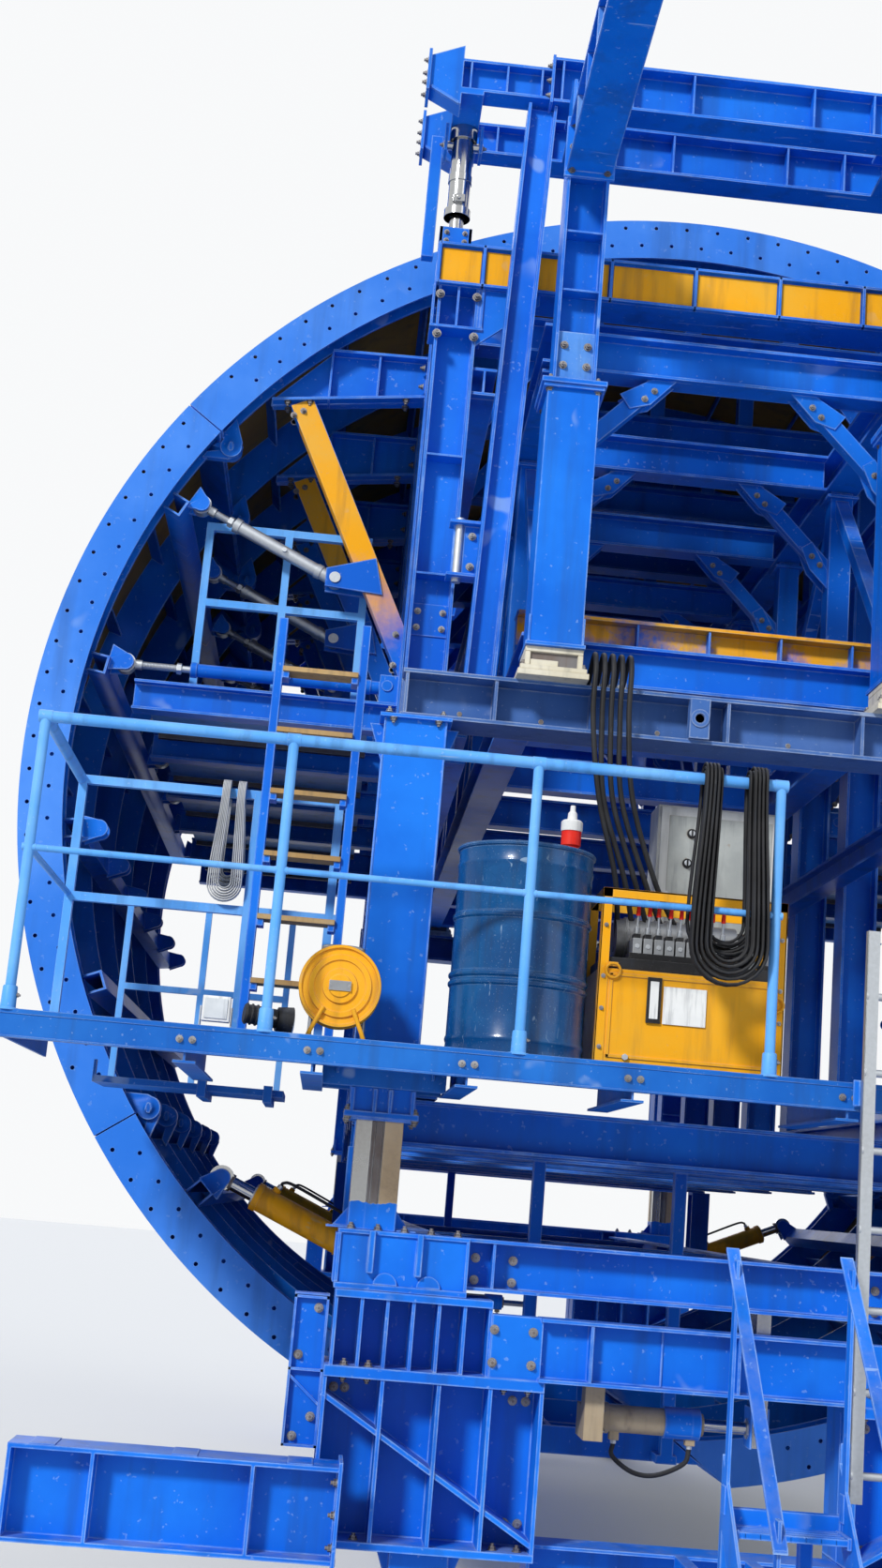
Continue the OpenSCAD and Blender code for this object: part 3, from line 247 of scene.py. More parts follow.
def metal_group(edge_rub, weather):
    """Bare metal with clouds, rust and oil."""
    tree, given, out = group(
        "Bare metal",
        [("Metal", "Color", (0.5, 0.5, 0.5, 1)), ("Stain", "Color", (0.2, 0.12, 0.06, 1)), ("Staining", "Float", 0.4),
         ("Gloss", "Float", 0.35), ("Grain", "Float", 1.0)],
        [("Color", "Color"), ("Roughness", "Float"), ("Height", "Float")])
    marks = use(tree, weather, Scale=given["Grain"])
    cloud = ramp(tree, marks["Fade"], 0.38, 0.7)
    spangle = noise(tree, place(tree), 60.0, 2.0)
    metal = mixed(tree, maths(tree, "MULTIPLY", spangle, 0.35), given["Metal"], (0.25, 0.27, 0.29, 1))
    grain = ramp(tree, spangle, 0.3, 0.7, 0.6, 1.0)
    stain = maths(tree, "MULTIPLY", maths(tree, "MULTIPLY", cloud, given["Staining"]), grain)
    running = maths(tree, "MULTIPLY", marks["Streak"], maths(tree, "MULTIPLY", given["Staining"], 0.6))
    stain = maths(tree, "MAXIMUM", stain, running)
    metal = mixed(tree, stain, metal, given["Stain"])
    rub = use(tree, edge_rub, Width=0.006, Amount=0.5)["Mask"]
    feed(tree, out["Color"], mixed(tree, rub, metal, (0.72, 0.73, 0.74, 1)))
    feed(tree, out["Roughness"], maths(tree, "ADD", given["Gloss"], maths(tree, "MULTIPLY", stain, 0.4), clamp=True))
    feed(tree, out["Height"], maths(tree, "MULTIPLY", spangle, 0.3))
    return tree


EDGE_RUB = edge_rub_group()
WEATHER = weather_group()
DUST = dust_group()
PAINT = paint_group(EDGE_RUB, WEATHER, DUST)
METAL = metal_group(EDGE_RUB, WEATHER)


# Finishes


def finish_of(name, out, metallic=0.0, bump=0.004, coat=0.0, specular=0.5):
    """A material from a group's colour, roughness and height."""
    material = bpy.data.materials.new(name)
    material.use_nodes = True
    tree = material.node_tree
    shader = tree.nodes["Principled BSDF"]
    made = out(tree)
    feed(tree, shader.inputs["Base Color"], made["Color"])
    feed(tree, shader.inputs["Roughness"], made["Roughness"])
    shader.inputs["Metallic"].default_value = metallic
    shader.inputs["Coat Weight"].default_value = coat
    shader.inputs["Specular IOR Level"].default_value = specular
    raised = node(tree, "ShaderNodeBump", {"Height": made["Height"], "Distance": bump, "Strength": 0.5})
    feed(tree, shader.inputs["Normal"], raised.outputs[0])
    return material


def colour(red, green, blue):
    return (red, green, blue, 1)


def painted(name, paint, faded, rubbed, wear=0.6, edge=0.01, dust=0.4, scale=1.0, gloss=0.40, coat=0.0):
    def out(tree):
        return use(tree, PAINT, Paint=paint, Faded=faded, Rubbed=rubbed, Wear=wear, Edge_width=edge,
                   Dust=dust, Scale=scale, Gloss=gloss)
    return finish_of(name, out, 0.0, 0.0015, coat, 0.2)


def metal(name, bright, stain, staining=0.4, gloss=0.35, grain=1.0, metallic=1.0):
    def out(tree):
        return use(tree, METAL, Metal=bright, Stain=stain, Staining=staining, Gloss=gloss, Grain=grain)
    return finish_of(name, out, metallic, 0.001)


COBALT = colour(0.000, 0.115, 0.60)
COBALT_FADED = colour(0.006, 0.190, 0.78)
COBALT_RUBBED = colour(0.36, 0.52, 0.74)
YELLOW = colour(0.90, 0.39, 0.004)

BLUE = painted("cobalt_paint", COBALT, COBALT_FADED, COBALT_RUBBED, 0.75, 0.012, 0.5)
RAIL_BLUE = painted("rail_paint", colour(0.085, 0.34, 0.80), colour(0.17, 0.44, 0.84),
                    colour(0.55, 0.64, 0.72), 0.6, 0.004, 0.4, 2.0)
YELLOW_PAINT = painted("warm_yellow_paint", YELLOW, colour(0.83, 0.42, 0.03),
                       colour(0.50, 0.40, 0.22), 0.5, 0.006, 0.25, 2.0)
CREAM = painted("cream_paint", colour(0.60, 0.55, 0.42), colour(0.70, 0.66, 0.54),
                colour(0.32, 0.25, 0.16), 0.7, 0.01, 0.3, 3.0, 0.5)
TAN = painted("tan_primer", colour(0.36, 0.28, 0.18), colour(0.46, 0.38, 0.26),
              colour(0.16, 0.13, 0.1), 0.6, 0.01, 0.3, 4.0, 0.55)
DRUM_BLUE = painted("drum_enamel", colour(0.001, 0.052, 0.175), colour(0.003, 0.085, 0.24),
                    colour(0.40, 0.53, 0.64), 0.7, 0.006, 0.12, 4.0, 0.20, 0.12)
CABINET_GREY = painted("cabinet_grey", colour(0.50, 0.51, 0.50), colour(0.62, 0.63, 0.62),
                       colour(0.30, 0.30, 0.29), 0.5, 0.006, 0.2, 3.0, 0.45)
BLACK_PAINT = painted("black_paint", colour(0.012, 0.012, 0.013), colour(0.03, 0.03, 0.032),
                      colour(0.2, 0.2, 0.2), 0.5, 0.004, 0.2, 4.0, 0.45)
RED_PAINT = painted("red_plastic", colour(0.72, 0.012, 0.008), colour(0.80, 0.04, 0.02),
                    colour(0.5, 0.12, 0.08), 0.3, 0.003, 0.1, 8.0, 0.35)
WHITE_PLASTIC = painted("white_plastic", colour(0.72, 0.72, 0.70), colour(0.80, 0.80, 0.78),
                        colour(0.45, 0.43, 0.40), 0.4, 0.003, 0.2, 8.0, 0.4)
RAM_STEEL = metal("oiled_ram", colour(0.42, 0.31, 0.19), colour(0.20, 0.13, 0.06), 0.55, 0.36, 2.0, 0.75)
ZINC = metal("galvanised_steel", colour(0.52, 0.55, 0.58), colour(0.30, 0.30, 0.30), 0.35, 0.42, 3.0, 0.85)
CHROME = metal("chromed_rod", colour(0.50, 0.50, 0.50), colour(0.30, 0.28, 0.24), 0.2, 0.14, 3.0)
DARK_STEEL = metal("dark_steel", colour(0.16, 0.15, 0.15), colour(0.14, 0.07, 0.03), 0.5, 0.5, 3.0, 0.9)
RUBBER = painted("hose_rubber", colour(0.012, 0.012, 0.013), colour(0.028, 0.028, 0.030),
                 colour(0.12, 0.12, 0.12), 0.25, 0.002, 0.35, 6.0, 0.5)

# The end plates' paler blue is partly painted sheen, a glare of light on the plates, laid over their cobalt paint.
RING_BLUE_SHEEN = painted("ring_plate_sheen_blue", colour(0.020, 0.175, 0.68), colour(0.075, 0.27, 0.80),
                    colour(0.40, 0.55, 0.74), 0.35, 0.006, 0.5, 0.9, 0.42)
VALVE_GREY = metal("valve_body_steel", colour(0.30, 0.31, 0.32), colour(0.10, 0.09, 0.08), 0.5, 0.42, 4.0, 0.7)
BRIGHT_STEEL = metal("bright_ram_steel", colour(0.40, 0.40, 0.39), colour(0.26, 0.20, 0.13), 0.4, 0.24, 1.6, 0.95)
LABEL_WHITE = painted("blank_label", colour(0.78, 0.78, 0.74), colour(0.84, 0.84, 0.80),
                      colour(0.5, 0.48, 0.42), 0.3, 0.002, 0.1, 9.0, 0.45)
CABINET_DOOR = painted("cabinet_door_grey", colour(0.32, 0.34, 0.33), colour(0.42, 0.44, 0.42),
                       colour(0.28, 0.20, 0.13), 0.75, 0.008, 0.25, 5.0, 0.45)
GREY_WIRE = painted("grey_wire", colour(0.42, 0.43, 0.43), colour(0.52, 0.53, 0.53),
                    colour(0.3, 0.3, 0.3), 0.2, 0.001, 0.3, 9.0, 0.5)
LAMP_GLASS = painted("lamp_glass", colour(0.55, 0.58, 0.60), colour(0.65, 0.68, 0.70),
                     colour(0.7, 0.7, 0.7), 0.1, 0.001, 0.3, 9.0, 0.08, 0.8)
WOOD = painted("worn_treads", colour(0.42, 0.25, 0.09), colour(0.52, 0.36, 0.17),
               colour(0.20, 0.14, 0.08), 0.7, 0.008, 0.35, 4.0, 0.65)
OCHRE = painted("ochre_primer", colour(0.34, 0.165, 0.022), colour(0.46, 0.25, 0.05),
                colour(0.10, 0.09, 0.09), 0.5, 0.01, 0.2, 1.2, 0.5)
BARE_SKIN = metal("form_skin_steel", colour(0.36, 0.37, 0.38), colour(0.30, 0.27, 0.23), 0.55, 0.48, 0.6, 0.7)
DUSTY_BLUE = painted("dusty_cobalt", colour(0.035, 0.115, 0.36), colour(0.085, 0.175, 0.42),
                     colour(0.46, 0.52, 0.60), 0.8, 0.012, 0.9, 1.4, 0.5)
# Darker blue of the front platform and its edge beam: painted shade, for the shadow that lies on the edge beam.
SHADED_DECK_BLUE = painted("deck_edge_shaded_blue", colour(0.003, 0.095, 0.42), colour(0.012, 0.15, 0.54),
                    colour(0.34, 0.47, 0.66), 0.75, 0.006, 0.45, 1.5, 0.42)
CHALKY_BLUE = painted("chalky_cobalt", colour(0.05, 0.22, 0.66), colour(0.16, 0.36, 0.74),
                      colour(0.55, 0.66, 0.78), 0.9, 0.012, 0.8, 2.2, 0.55)


def two_coats(name, low, high, grain):
    """Cobalt over yellow: the yellow shows where a cloudy mask, along height, passes from low to high."""
    def out(tree):
        where = place(tree)
        height = node(tree, "ShaderNodeSeparateXYZ", {0: where}).outputs[2]
        cloud = maths(tree, "SUBTRACT", noise(tree, where, grain, 5.0, 0.7), 0.5)
        share = ramp(tree, maths(tree, "ADD", height, cloud), low, high)
        faded = mixed(tree, share, COBALT_FADED, colour(0.80, 0.42, 0.05))
        return use(tree, PAINT, Paint=mixed(tree, share, COBALT, YELLOW), Faded=faded,
                   Rubbed=colour(0.42, 0.40, 0.34), Wear=0.8, Edge_width=0.010, Dust=0.4, Scale=2.0, Gloss=0.42)
    return finish_of(name, out, 0.0, 0.0015, 0.0, 0.2)


FADING_YELLOW = two_coats("yellow_over_blue", 4.75, 5.45, 2.5)
PATCHED_YELLOW = two_coats("patched_yellow", 4.55, 4.80, 3.5)

FINISHES = {"blue_paint": BLUE, "rail_paint": RAIL_BLUE, "yellow_paint": YELLOW_PAINT, "cream_paint": CREAM,
            "tan_paint": TAN, "drum_paint": DRUM_BLUE, "grey_paint": CABINET_GREY, "ram_steel": RAM_STEEL,
            "zinc_steel": ZINC, "chrome_rod": CHROME, "wheel_steel": DARK_STEEL,
            "cable_rubber": RUBBER}
# The front platform takes the darker deck blue, which is painted shade.
OWN_FINISH = {"mid_beams": DUSTY_BLUE, "front_platform": SHADED_DECK_BLUE}


def dress_frame():
    """Every node of the frame takes the finish that the record names for it, save those in OWN_FINISH: dusty blue for
    the mid beams, and for the front platform a darker blue of painted shade.
    """
    for part in RECORD["subparts"]:
        mesh = NODES[part["node"]].data
        material = OWN_FINISH.get(part["node"], FINISHES[part["material_slot"]])
        if not mesh.materials:
            mesh.materials.append(material)
        for i in range(len(mesh.materials)):
            mesh.materials[i] = material


dress_frame()


# Mesh making


class Shape:
    """Collects the solids of one piece. Each solid names the number of its material."""

    def __init__(self):
        self.mesh = bmesh.new()

    def keep(self, made, slot):
        for face in {face for vert in made["verts"] for face in vert.link_faces}:
            face.material_index = slot

    def box(self, corner, opposite, slot=0):
        """A block between two opposite corners, given in any order."""
        low = Vector([min(pair) for pair in zip(corner, opposite)])
        high = Vector([max(pair) for pair in zip(corner, opposite)])
        where = Matrix.Translation((low + high) / 2) @ Matrix.Diagonal((*(high - low), 1))
        self.keep(bmesh.ops.create_cube(self.mesh, size=1, matrix=where), slot)

    def slab(self, x, y, heights, half_x, half_y, slot=0):
        """A block round an upright line, between two heights."""
        low, high = heights
        self.box((x - half_x, y - half_y, low), (x + half_x, y + half_y, high), slot)

    def bar(self, start, end, width, depth, slot=0, up=(0, 1, 0)):
        """A flat bar from point to point. Its depth lies along up."""
        start, end = Vector(start), Vector(end)
        along = (end - start).normalized()
        across = along.cross(Vector(up)).normalized()
        turn = Matrix((along, across, along.cross(across).normalized())).transposed().to_4x4()
        size = Matrix.Diagonal(((end - start).length, width, depth, 1))
        where = Matrix.Translation((start + end) / 2) @ turn @ size
        self.keep(bmesh.ops.create_cube(self.mesh, size=1, matrix=where), slot)

    def rod(self, start, end, radius, slot=0, sides=20, tip=None):
        start, end = Vector(start), Vector(end)
        turn = (end - start).to_track_quat("Z", "Y").to_matrix().to_4x4()
        where = Matrix.Translation((start + end) / 2) @ turn
        self.keep(bmesh.ops.create_cone(
            self.mesh, cap_ends=True, segments=sides, radius1=radius, radius2=radius if tip is None else tip,
            depth=(end - start).length, matrix=where), slot)

    def fill(self, faces, slot):
        """Gives new faces their material and turns them outward."""
        for face in faces:
            face.material_index = slot
        bmesh.ops.recalc_face_normals(self.mesh, faces=faces)

    def plate(self, outline, y0, y1, slot=0):
        """A flat outline in the profile plane, thick along Y."""
        front = [self.mesh.verts.new((x, y0, z)) for x, z in outline]
        back = [self.mesh.verts.new((x, y1, z)) for x, z in outline]
        faces = [self.mesh.faces.new(front), self.mesh.faces.new(back[::-1])]
        for i in range(len(outline)):
            j = (i + 1) % len(outline)
            faces.append(self.mesh.faces.new((front[i], back[i], back[j], front[j])))
        self.fill(faces, slot)

    def turned(self, profile, foot, axis=(0, 0, 1), sides=48, slot=0):
        """A profile of (radius, height) points turned round an axis that starts at foot."""
        turn = Vector(axis).to_track_quat("Z", "Y").to_matrix()
        foot = Vector(foot)
        rings = []
        for radius, height in profile:
            if radius == 0:
                rings.append([self.mesh.verts.new(foot + turn @ Vector((0, 0, height)))])
                continue
            rings.append([self.mesh.verts.new(foot + turn @ Vector((
                radius * math.cos(2 * math.pi * k / sides), radius * math.sin(2 * math.pi * k / sides), height)))
                for k in range(sides)])
        faces = []
        for low, high in zip(rings, rings[1:]):
            for k in range(sides):
                corners = [low[k % len(low)], low[(k + 1) % len(low)], high[(k + 1) % len(high)], high[k % len(high)]]
                corners = [c for i, c in enumerate(corners) if c not in corners[:i]]
                faces.append(self.mesh.faces.new(corners))
        for ring in (rings[0], rings[-1]):
            if len(ring) > 1:
                faces.append(self.mesh.faces.new(ring))
        self.fill(faces, slot)

    def tube(self, path, radius, slot=0, sides=10):
        """A round tube along a path of points, closed at both ends."""
        path = [Vector(p) for p in path]
        side = (path[1] - path[0]).normalized().orthogonal().normalized()
        rings = []
        for i, point in enumerate(path):
            along = (path[min(i + 1, len(path) - 1)] - path[max(i - 1, 0)]).normalized()
            side = (side - along * side.dot(along)).normalized()
            other = along.cross(side)
            rings.append([self.mesh.verts.new(point + radius * (
                side * math.cos(2 * math.pi * k / sides) + other * math.sin(2 * math.pi * k / sides)))
                for k in range(sides)])
        faces = [self.mesh.faces.new(rings[0][::-1]), self.mesh.faces.new(rings[-1])]
        for low, high in zip(rings, rings[1:]):
            for k in range(sides):
                j = (k + 1) % sides
                faces.append(self.mesh.faces.new((low[k], low[j], high[j], high[k])))
        for face in faces:
            face.material_index = slot

    def data(self, name):
        """The collected solids as a mesh. Nothing more can be added after it."""
        data = bpy.data.meshes.new(name)
        self.mesh.to_mesh(data)
        self.mesh.free()
        return data

    def piece(self, name, body, materials, bevel=0.0, smooth=35, node=None, slot=None):
        """The finished piece on a body, in place of a node of the frame if one is named."""
        data = self.data(name)
        for material in materials:
            data.materials.append(material)
        piece = finished(name, body, data, bevel, smooth)
        if node:
            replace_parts(piece, node)


def finished(name, body, data, bevel=0.0, smooth=35):
    piece = bpy.data.objects.new(name, data)
    bpy.context.scene.collection.objects.link(piece)
    data.shade_smooth()
    data.set_sharp_from_angle(angle=math.radians(smooth))
    if bevel:
        rounding = piece.modifiers.new("rounding", "BEVEL")
        rounding.width = bevel
        rounding.segments = 2
        rounding.limit_method = "ANGLE"
        rounding.angle_limit = math.radians(40)
        rounding.harden_normals = True
    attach(piece, body)
    return piece


def smooth_path(points, per_span=8):
    """Points of a smooth curve through the given ones."""
    points = [Vector(p) for p in points]
    ends = [2 * points[0] - points[1], *points, 2 * points[-1] - points[-2]]
    out = []
    for a, b, c, d in zip(ends, ends[1:], ends[2:], ends[3:]):
        for i in range(per_span):
            t = i / per_span
            out.append(0.5 * ((2 * b) + (c - a) * t + (2 * a - 5 * b + 4 * c - d) * t * t
                              + (3 * b - a - 3 * c + d) * t ** 3))
    out.append(points[-1])
    return out


# Bolts come from a geometry tree


def geometry_tree(name, inputs):
    tree = bpy.data.node_groups.new(name, "GeometryNodeTree")
    tree.interface.new_socket("Geometry", in_out="INPUT", socket_type="NodeSocketGeometry")
    for label, kind, value in inputs:
        socket = tree.interface.new_socket(label, in_out="INPUT", socket_type="NodeSocket" + kind)
        if value is not None:
            socket.default_value = value
    tree.interface.new_socket("Geometry", in_out="OUTPUT", socket_type="NodeSocketGeometry")
    return tree, tree.nodes.new("NodeGroupInput").outputs, tree.nodes.new("NodeGroupOutput").inputs[0]


def grown(base, tree, values, name, body):
    """The mesh that a geometry tree makes from a base mesh, as a plain piece on a body."""
    holder = bpy.data.objects.new(name + "_base", base)
    bpy.context.scene.collection.objects.link(holder)
    modifier = holder.modifiers.new("tree", "NODES")
    modifier.node_group = tree
    sockets = {item.name: item.identifier for item in tree.interface.items_tree if item.in_out == "INPUT"}
    for label, value in values.items():
        modifier[sockets[label]] = value
    seen = holder.evaluated_get(bpy.context.evaluated_depsgraph_get())
    data = bpy.data.meshes.new_from_object(seen)
    data.name = name
    bpy.data.objects.remove(holder)
    data.materials.clear()
    data.materials.append(values["Finish"])
    data.polygons.foreach_set("material_index", [0] * len(data.polygons))
    return finished(name, body, data)


def bolt_tree():
    """Hexagon bolts with washers, one on each vertex, pointing along its aim."""
    tree, given, out = geometry_tree("Bolts", [
        ("Across flats", "Float", 0.03), ("Head height", "Float", 0.014), ("Washer", "Float", 0.04),
        ("Finish", "Material", None)])
    head_radius = maths(tree, "DIVIDE", given["Across flats"], math.sqrt(3))
    washer_radius = maths(tree, "DIVIDE", given["Washer"], 2)
    washer_height = maths(tree, "MULTIPLY", given["Head height"], 0.25)
    shank_radius = maths(tree, "MULTIPLY", given["Across flats"], 0.32)
    total = maths(tree, "MULTIPLY", given["Head height"], 1.7)
    parts = []
    for radius, height, sides in ((washer_radius, washer_height, 14), (head_radius, given["Head height"], 6),
                                  (shank_radius, total, 10)):
        made = node(tree, "GeometryNodeMeshCylinder", {"Vertices": sides, "Radius": radius, "Depth": height}).outputs[0]
        lift = node(tree, "ShaderNodeCombineXYZ", {2: maths(tree, "DIVIDE", height, 2)}).outputs[0]
        parts.append(node(tree, "GeometryNodeTransform", {"Geometry": made, "Translation": lift}).outputs[0])
    joined = tree.nodes.new("GeometryNodeJoinGeometry")
    for part in parts:
        tree.links.new(part, joined.inputs[0])
    aim = node(tree, "GeometryNodeInputNamedAttribute", {"Name": "aim"}, data_type="FLOAT_VECTOR").outputs[0]
    turn = node(tree, "FunctionNodeAlignRotationToVector", {"Vector": aim}, axis="Z").outputs[0]
    placed = node(tree, "GeometryNodeInstanceOnPoints",
                  {"Points": given["Geometry"], "Instance": joined.outputs[0], "Rotation": turn}).outputs[0]
    real = node(tree, "GeometryNodeRealizeInstances", {0: placed}).outputs[0]
    feed(tree, out, node(tree, "GeometryNodeSetMaterial", {"Geometry": real, "Material": given["Finish"]}).outputs[0])
    return tree


BOLTS = bolt_tree()


def bolts(name, body, places, across):
    """One joined piece of bolts. Each place is a point and the way that its head faces."""
    base = bpy.data.meshes.new(name + "_points")
    base.from_pydata([point for point, _ in places], [], [])
    aims = base.attributes.new("aim", "FLOAT_VECTOR", "POINT")
    aims.data.foreach_set("vector", [c for _, aim in places for c in aim])
    grown(base, BOLTS, {"Across flats": across, "Head height": across * 0.6, "Washer": across * 1.5,
                        "Finish": DARK_STEEL}, name, body)


# Cords: hoses to the power pack and two hanks on the rails


def cord_piece(name, node_name, points, diameter, material):
    """A round cord from its start along points, as one open spline, that stands for a node of the frame."""
    data = bpy.data.curves.new(name, "CURVE")
    data.dimensions = "3D"
    data.bevel_depth = diameter / 2
    data.bevel_resolution = 3
    data.use_fill_caps = True
    spline = data.splines.new("POLY")
    spline.points.add(len(points) - 1)
    for spot, point in zip(spline.points, points):
        spot.co = (*point, 1)
    data.materials.append(material)
    piece = bpy.data.objects.new(name, data)
    bpy.context.scene.collection.objects.link(piece)
    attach(piece, "gantry")
    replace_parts(piece, node_name)


# Each hose keeps its own x at the bulkhead, halfway down, low down and on the tank. Points are (y, z).
HOSE_D = 0.024
HOSE_X = (-0.620, -0.580, -0.540, -0.500, -0.460)
HOSE_MID_X = (-0.570, -0.550, -0.510, -0.470, -0.420)
HOSE_LOW_X = (-0.470, -0.430, -0.385, -0.340, -0.295)
HOSE_END_X = (-0.440, -0.370, -0.300, -0.230, -0.160)
HOSE_TOP = ((-4.1903, 4.385), (-4.210, 4.385), (-4.250, 4.385), (-4.400, 4.470), (-4.490, 4.390), (-4.500, 4.150))
HOSE_END = ((-4.400, 3.220), (-4.390, 3.140), (-4.390, 3.100), (-4.390, 3.0803))


def add_hoses():
    for i, (x, mid_x, low_x, end_x) in enumerate(zip(HOSE_X, HOSE_MID_X, HOSE_LOW_X, HOSE_END_X)):
        route = [(x, y, z) for y, z in HOSE_TOP]
        route += [(mid_x, -4.490, 3.800), (low_x, -4.460, 3.450)]
        route += [(end_x, y, z) for y, z in HOSE_END]
        cord_piece(f"hose_{i + 1}", "hose_lines", smooth_path(route, 6), HOSE_D, RUBBER)


def hank_points(turns, layers, x_span, pitch, y, z_top, bend, lift, floor_z, back_z, top_in, sway, sag, seed):
    """Turns of a cord hung over a rail, nested in one another in front of it and behind it.

    They fill the layers to and fro, ring by ring, so that no strand has to cross another."""
    chance = random.Random(seed)
    lanes = []
    for k in range(turns + 1):
        ring, layer = divmod(k, layers)
        lanes.append((ring, layer if ring % 2 == 0 else layers - 1 - layer))
    middle = (x_span[0] + x_span[1]) / 2
    half = (x_span[1] - x_span[0]) / 2
    down = (0.06, 0.2, 0.4, 0.6, 0.8, 0.94)
    route = []

    def over(reach, width, forward):
        for i in range(9):
            turn = math.pi * (i / 8 if forward else 1 - i / 8)
            route.append((middle + width * top_in, y + reach * math.cos(turn), z_top + reach * math.sin(turn)))

    def side(width, y_side, foot, aside, shares):
        for share in shares:
            ease = share * share * (3 - 2 * share)
            x = middle + width * (top_in + (1 - top_in) * ease) + aside * ease
            route.append((x, y_side, z_top + (foot - z_top) * share))

    def loop(start, end, y_start, y_end, floor, aside):
        """Down one side, round the bottom and up the other side."""
        radius = abs(end - start) / 2
        foot = floor + radius
        side(start, y_start, foot, aside, down)
        for i in range(13):
            turn = math.pi * i / 12
            x = (start + end) / 2 + (start - end) / 2 * math.cos(turn)
            route.append((middle + x + aside, y_start + (y_end - y_start) * i / 12, foot - radius * math.sin(turn)))
        side(end, y_end, foot, aside, down[::-1])

    for (ring, layer), (next_ring, next_layer) in zip(lanes, lanes[1:]):
        reach, next_reach = bend + lift * layer, bend + lift * next_layer
        wide, next_wide = half - pitch * ring, half - pitch * next_ring
        low = pitch * ring + sag * (ring + chance.random())
        over(reach, -wide, True)
        loop(-wide, wide, y - reach, y - reach, floor_z + low, chance.uniform(-sway, sway))
        over(reach, wide, False)
        loop(wide, -next_wide, y + reach, y + next_reach, back_z + pitch * (ring + next_ring) / 2, 0.0)
    return [Vector(point) for point in route]


def add_hanks():
    black = hank_points(turns=14, layers=3, x_span=(-0.238, 0.070), pitch=0.0198, y=-5.020, z_top=3.800,
                        bend=0.0308, lift=0.0178, floor_z=2.953, back_z=3.06, top_in=0.80,
                        sway=0.0016, sag=0.0045, seed=5)
    grey = hank_points(turns=24, layers=4, x_span=(-2.273, -2.117), pitch=0.0096, y=-3.820, z_top=3.798,
                       bend=0.0335, lift=0.0094, floor_z=3.282, back_z=3.36, top_in=0.66,
                       sway=0.0006, sag=0.0025, seed=9)
    for name, points, diameter, material in (("cable_hank", black, 0.0122, RUBBER),
                                             ("wire_hank", grey, 0.0058, GREY_WIRE)):
        cord_piece(name, "cable_hanks", points, diameter, material)


add_hoses()
add_hanks()


# What stands on the platform

DRUM_X, DRUM_Y = -0.88, -4.64
DRUM_HOOPS = ((0.07, 0.289), (0.30, 0.293), (0.335, 0.293), (0.58, 0.293), (0.80, 0.289))


def add_drum():
    wall = 0.284
    profile = [(0, 0.012), (0.27, 0.012), (0.277, 0.0), (0.292, 0.0), (0.294, 0.008), (0.287, 0.016)]
    for z, r in DRUM_HOOPS:
        profile += [(wall, z - 0.016), (r - 0.001, z - 0.006), (r, z), (r - 0.001, z + 0.006), (wall, z + 0.016)]
    profile += [(0.285, 0.862), (0.293, 0.868), (0.295, 0.876), (0.291, 0.882), (0.284, 0.880), (0.280, 0.864),
                (0, 0.862)]
    shape = Shape()
    shape.turned(profile, (DRUM_X, DRUM_Y, DECK_Z), sides=96)
    bung = [(0, 0.8), (0.034, 0.8), (0.034, 0.872), (0.024, 0.878), (0, 0.878)]
    vent = [(0, 0.8), (0.018, 0.8), (0.018, 0.870), (0.012, 0.874), (0, 0.874)]
    shape.turned(bung, (DRUM_X + 0.16, DRUM_Y - 0.12, DECK_Z), sides=28)
    shape.turned(vent, (DRUM_X - 0.17, DRUM_Y + 0.1, DECK_Z), sides=24)
    shape.piece("drum_shell", "gantry", [DRUM_BLUE], 0, 28, node="oil_drum", slot="drum_paint")


def add_coupling():
    """Red and white supply coupling that stands on the drum's lid."""
    foot = Vector((DRUM_X + 0.19, DRUM_Y + 0.06, DECK_Z + 0.864))
    upright = Vector((0, 0, 1))
    plug = Shape()
    plug.turned([(0, 0), (0.034, 0), (0.038, 0.008), (0.038, 0.060), (0.034, 0.066), (0.034, 0.072), (0.043, 0.080),
                 (0.043, 0.142), (0, 0.142)], foot, sides=32)
    for k in range(12):
        a = 2 * math.pi * k / 12
        side = foot + Vector((math.cos(a), math.sin(a), 0)) * 0.0385
        plug.rod(side + 0.012 * upright, side + 0.056 * upright, 0.003, sides=6)
    plug.turned([(0, 0.142), (0.046, 0.142), (0.047, 0.150), (0.047, 0.182), (0.040, 0.190), (0.022, 0.194),
                 (0.020, 0.222), (0.012, 0.232), (0.011, 0.256), (0, 0.256)], foot, sides=32, slot=1)
    plug.piece("supply_coupling", "gantry", [RED_PAINT, WHITE_PLASTIC], 0, 30)


PACK_X = (-0.55, 0.24)
PACK_Y = (-4.70, -4.25)
PACK_TOP = DECK_Z + 0.76
MOTOR_Y, MOTOR_Z = PACK_Y[1] - 0.13, DECK_Z + 0.585


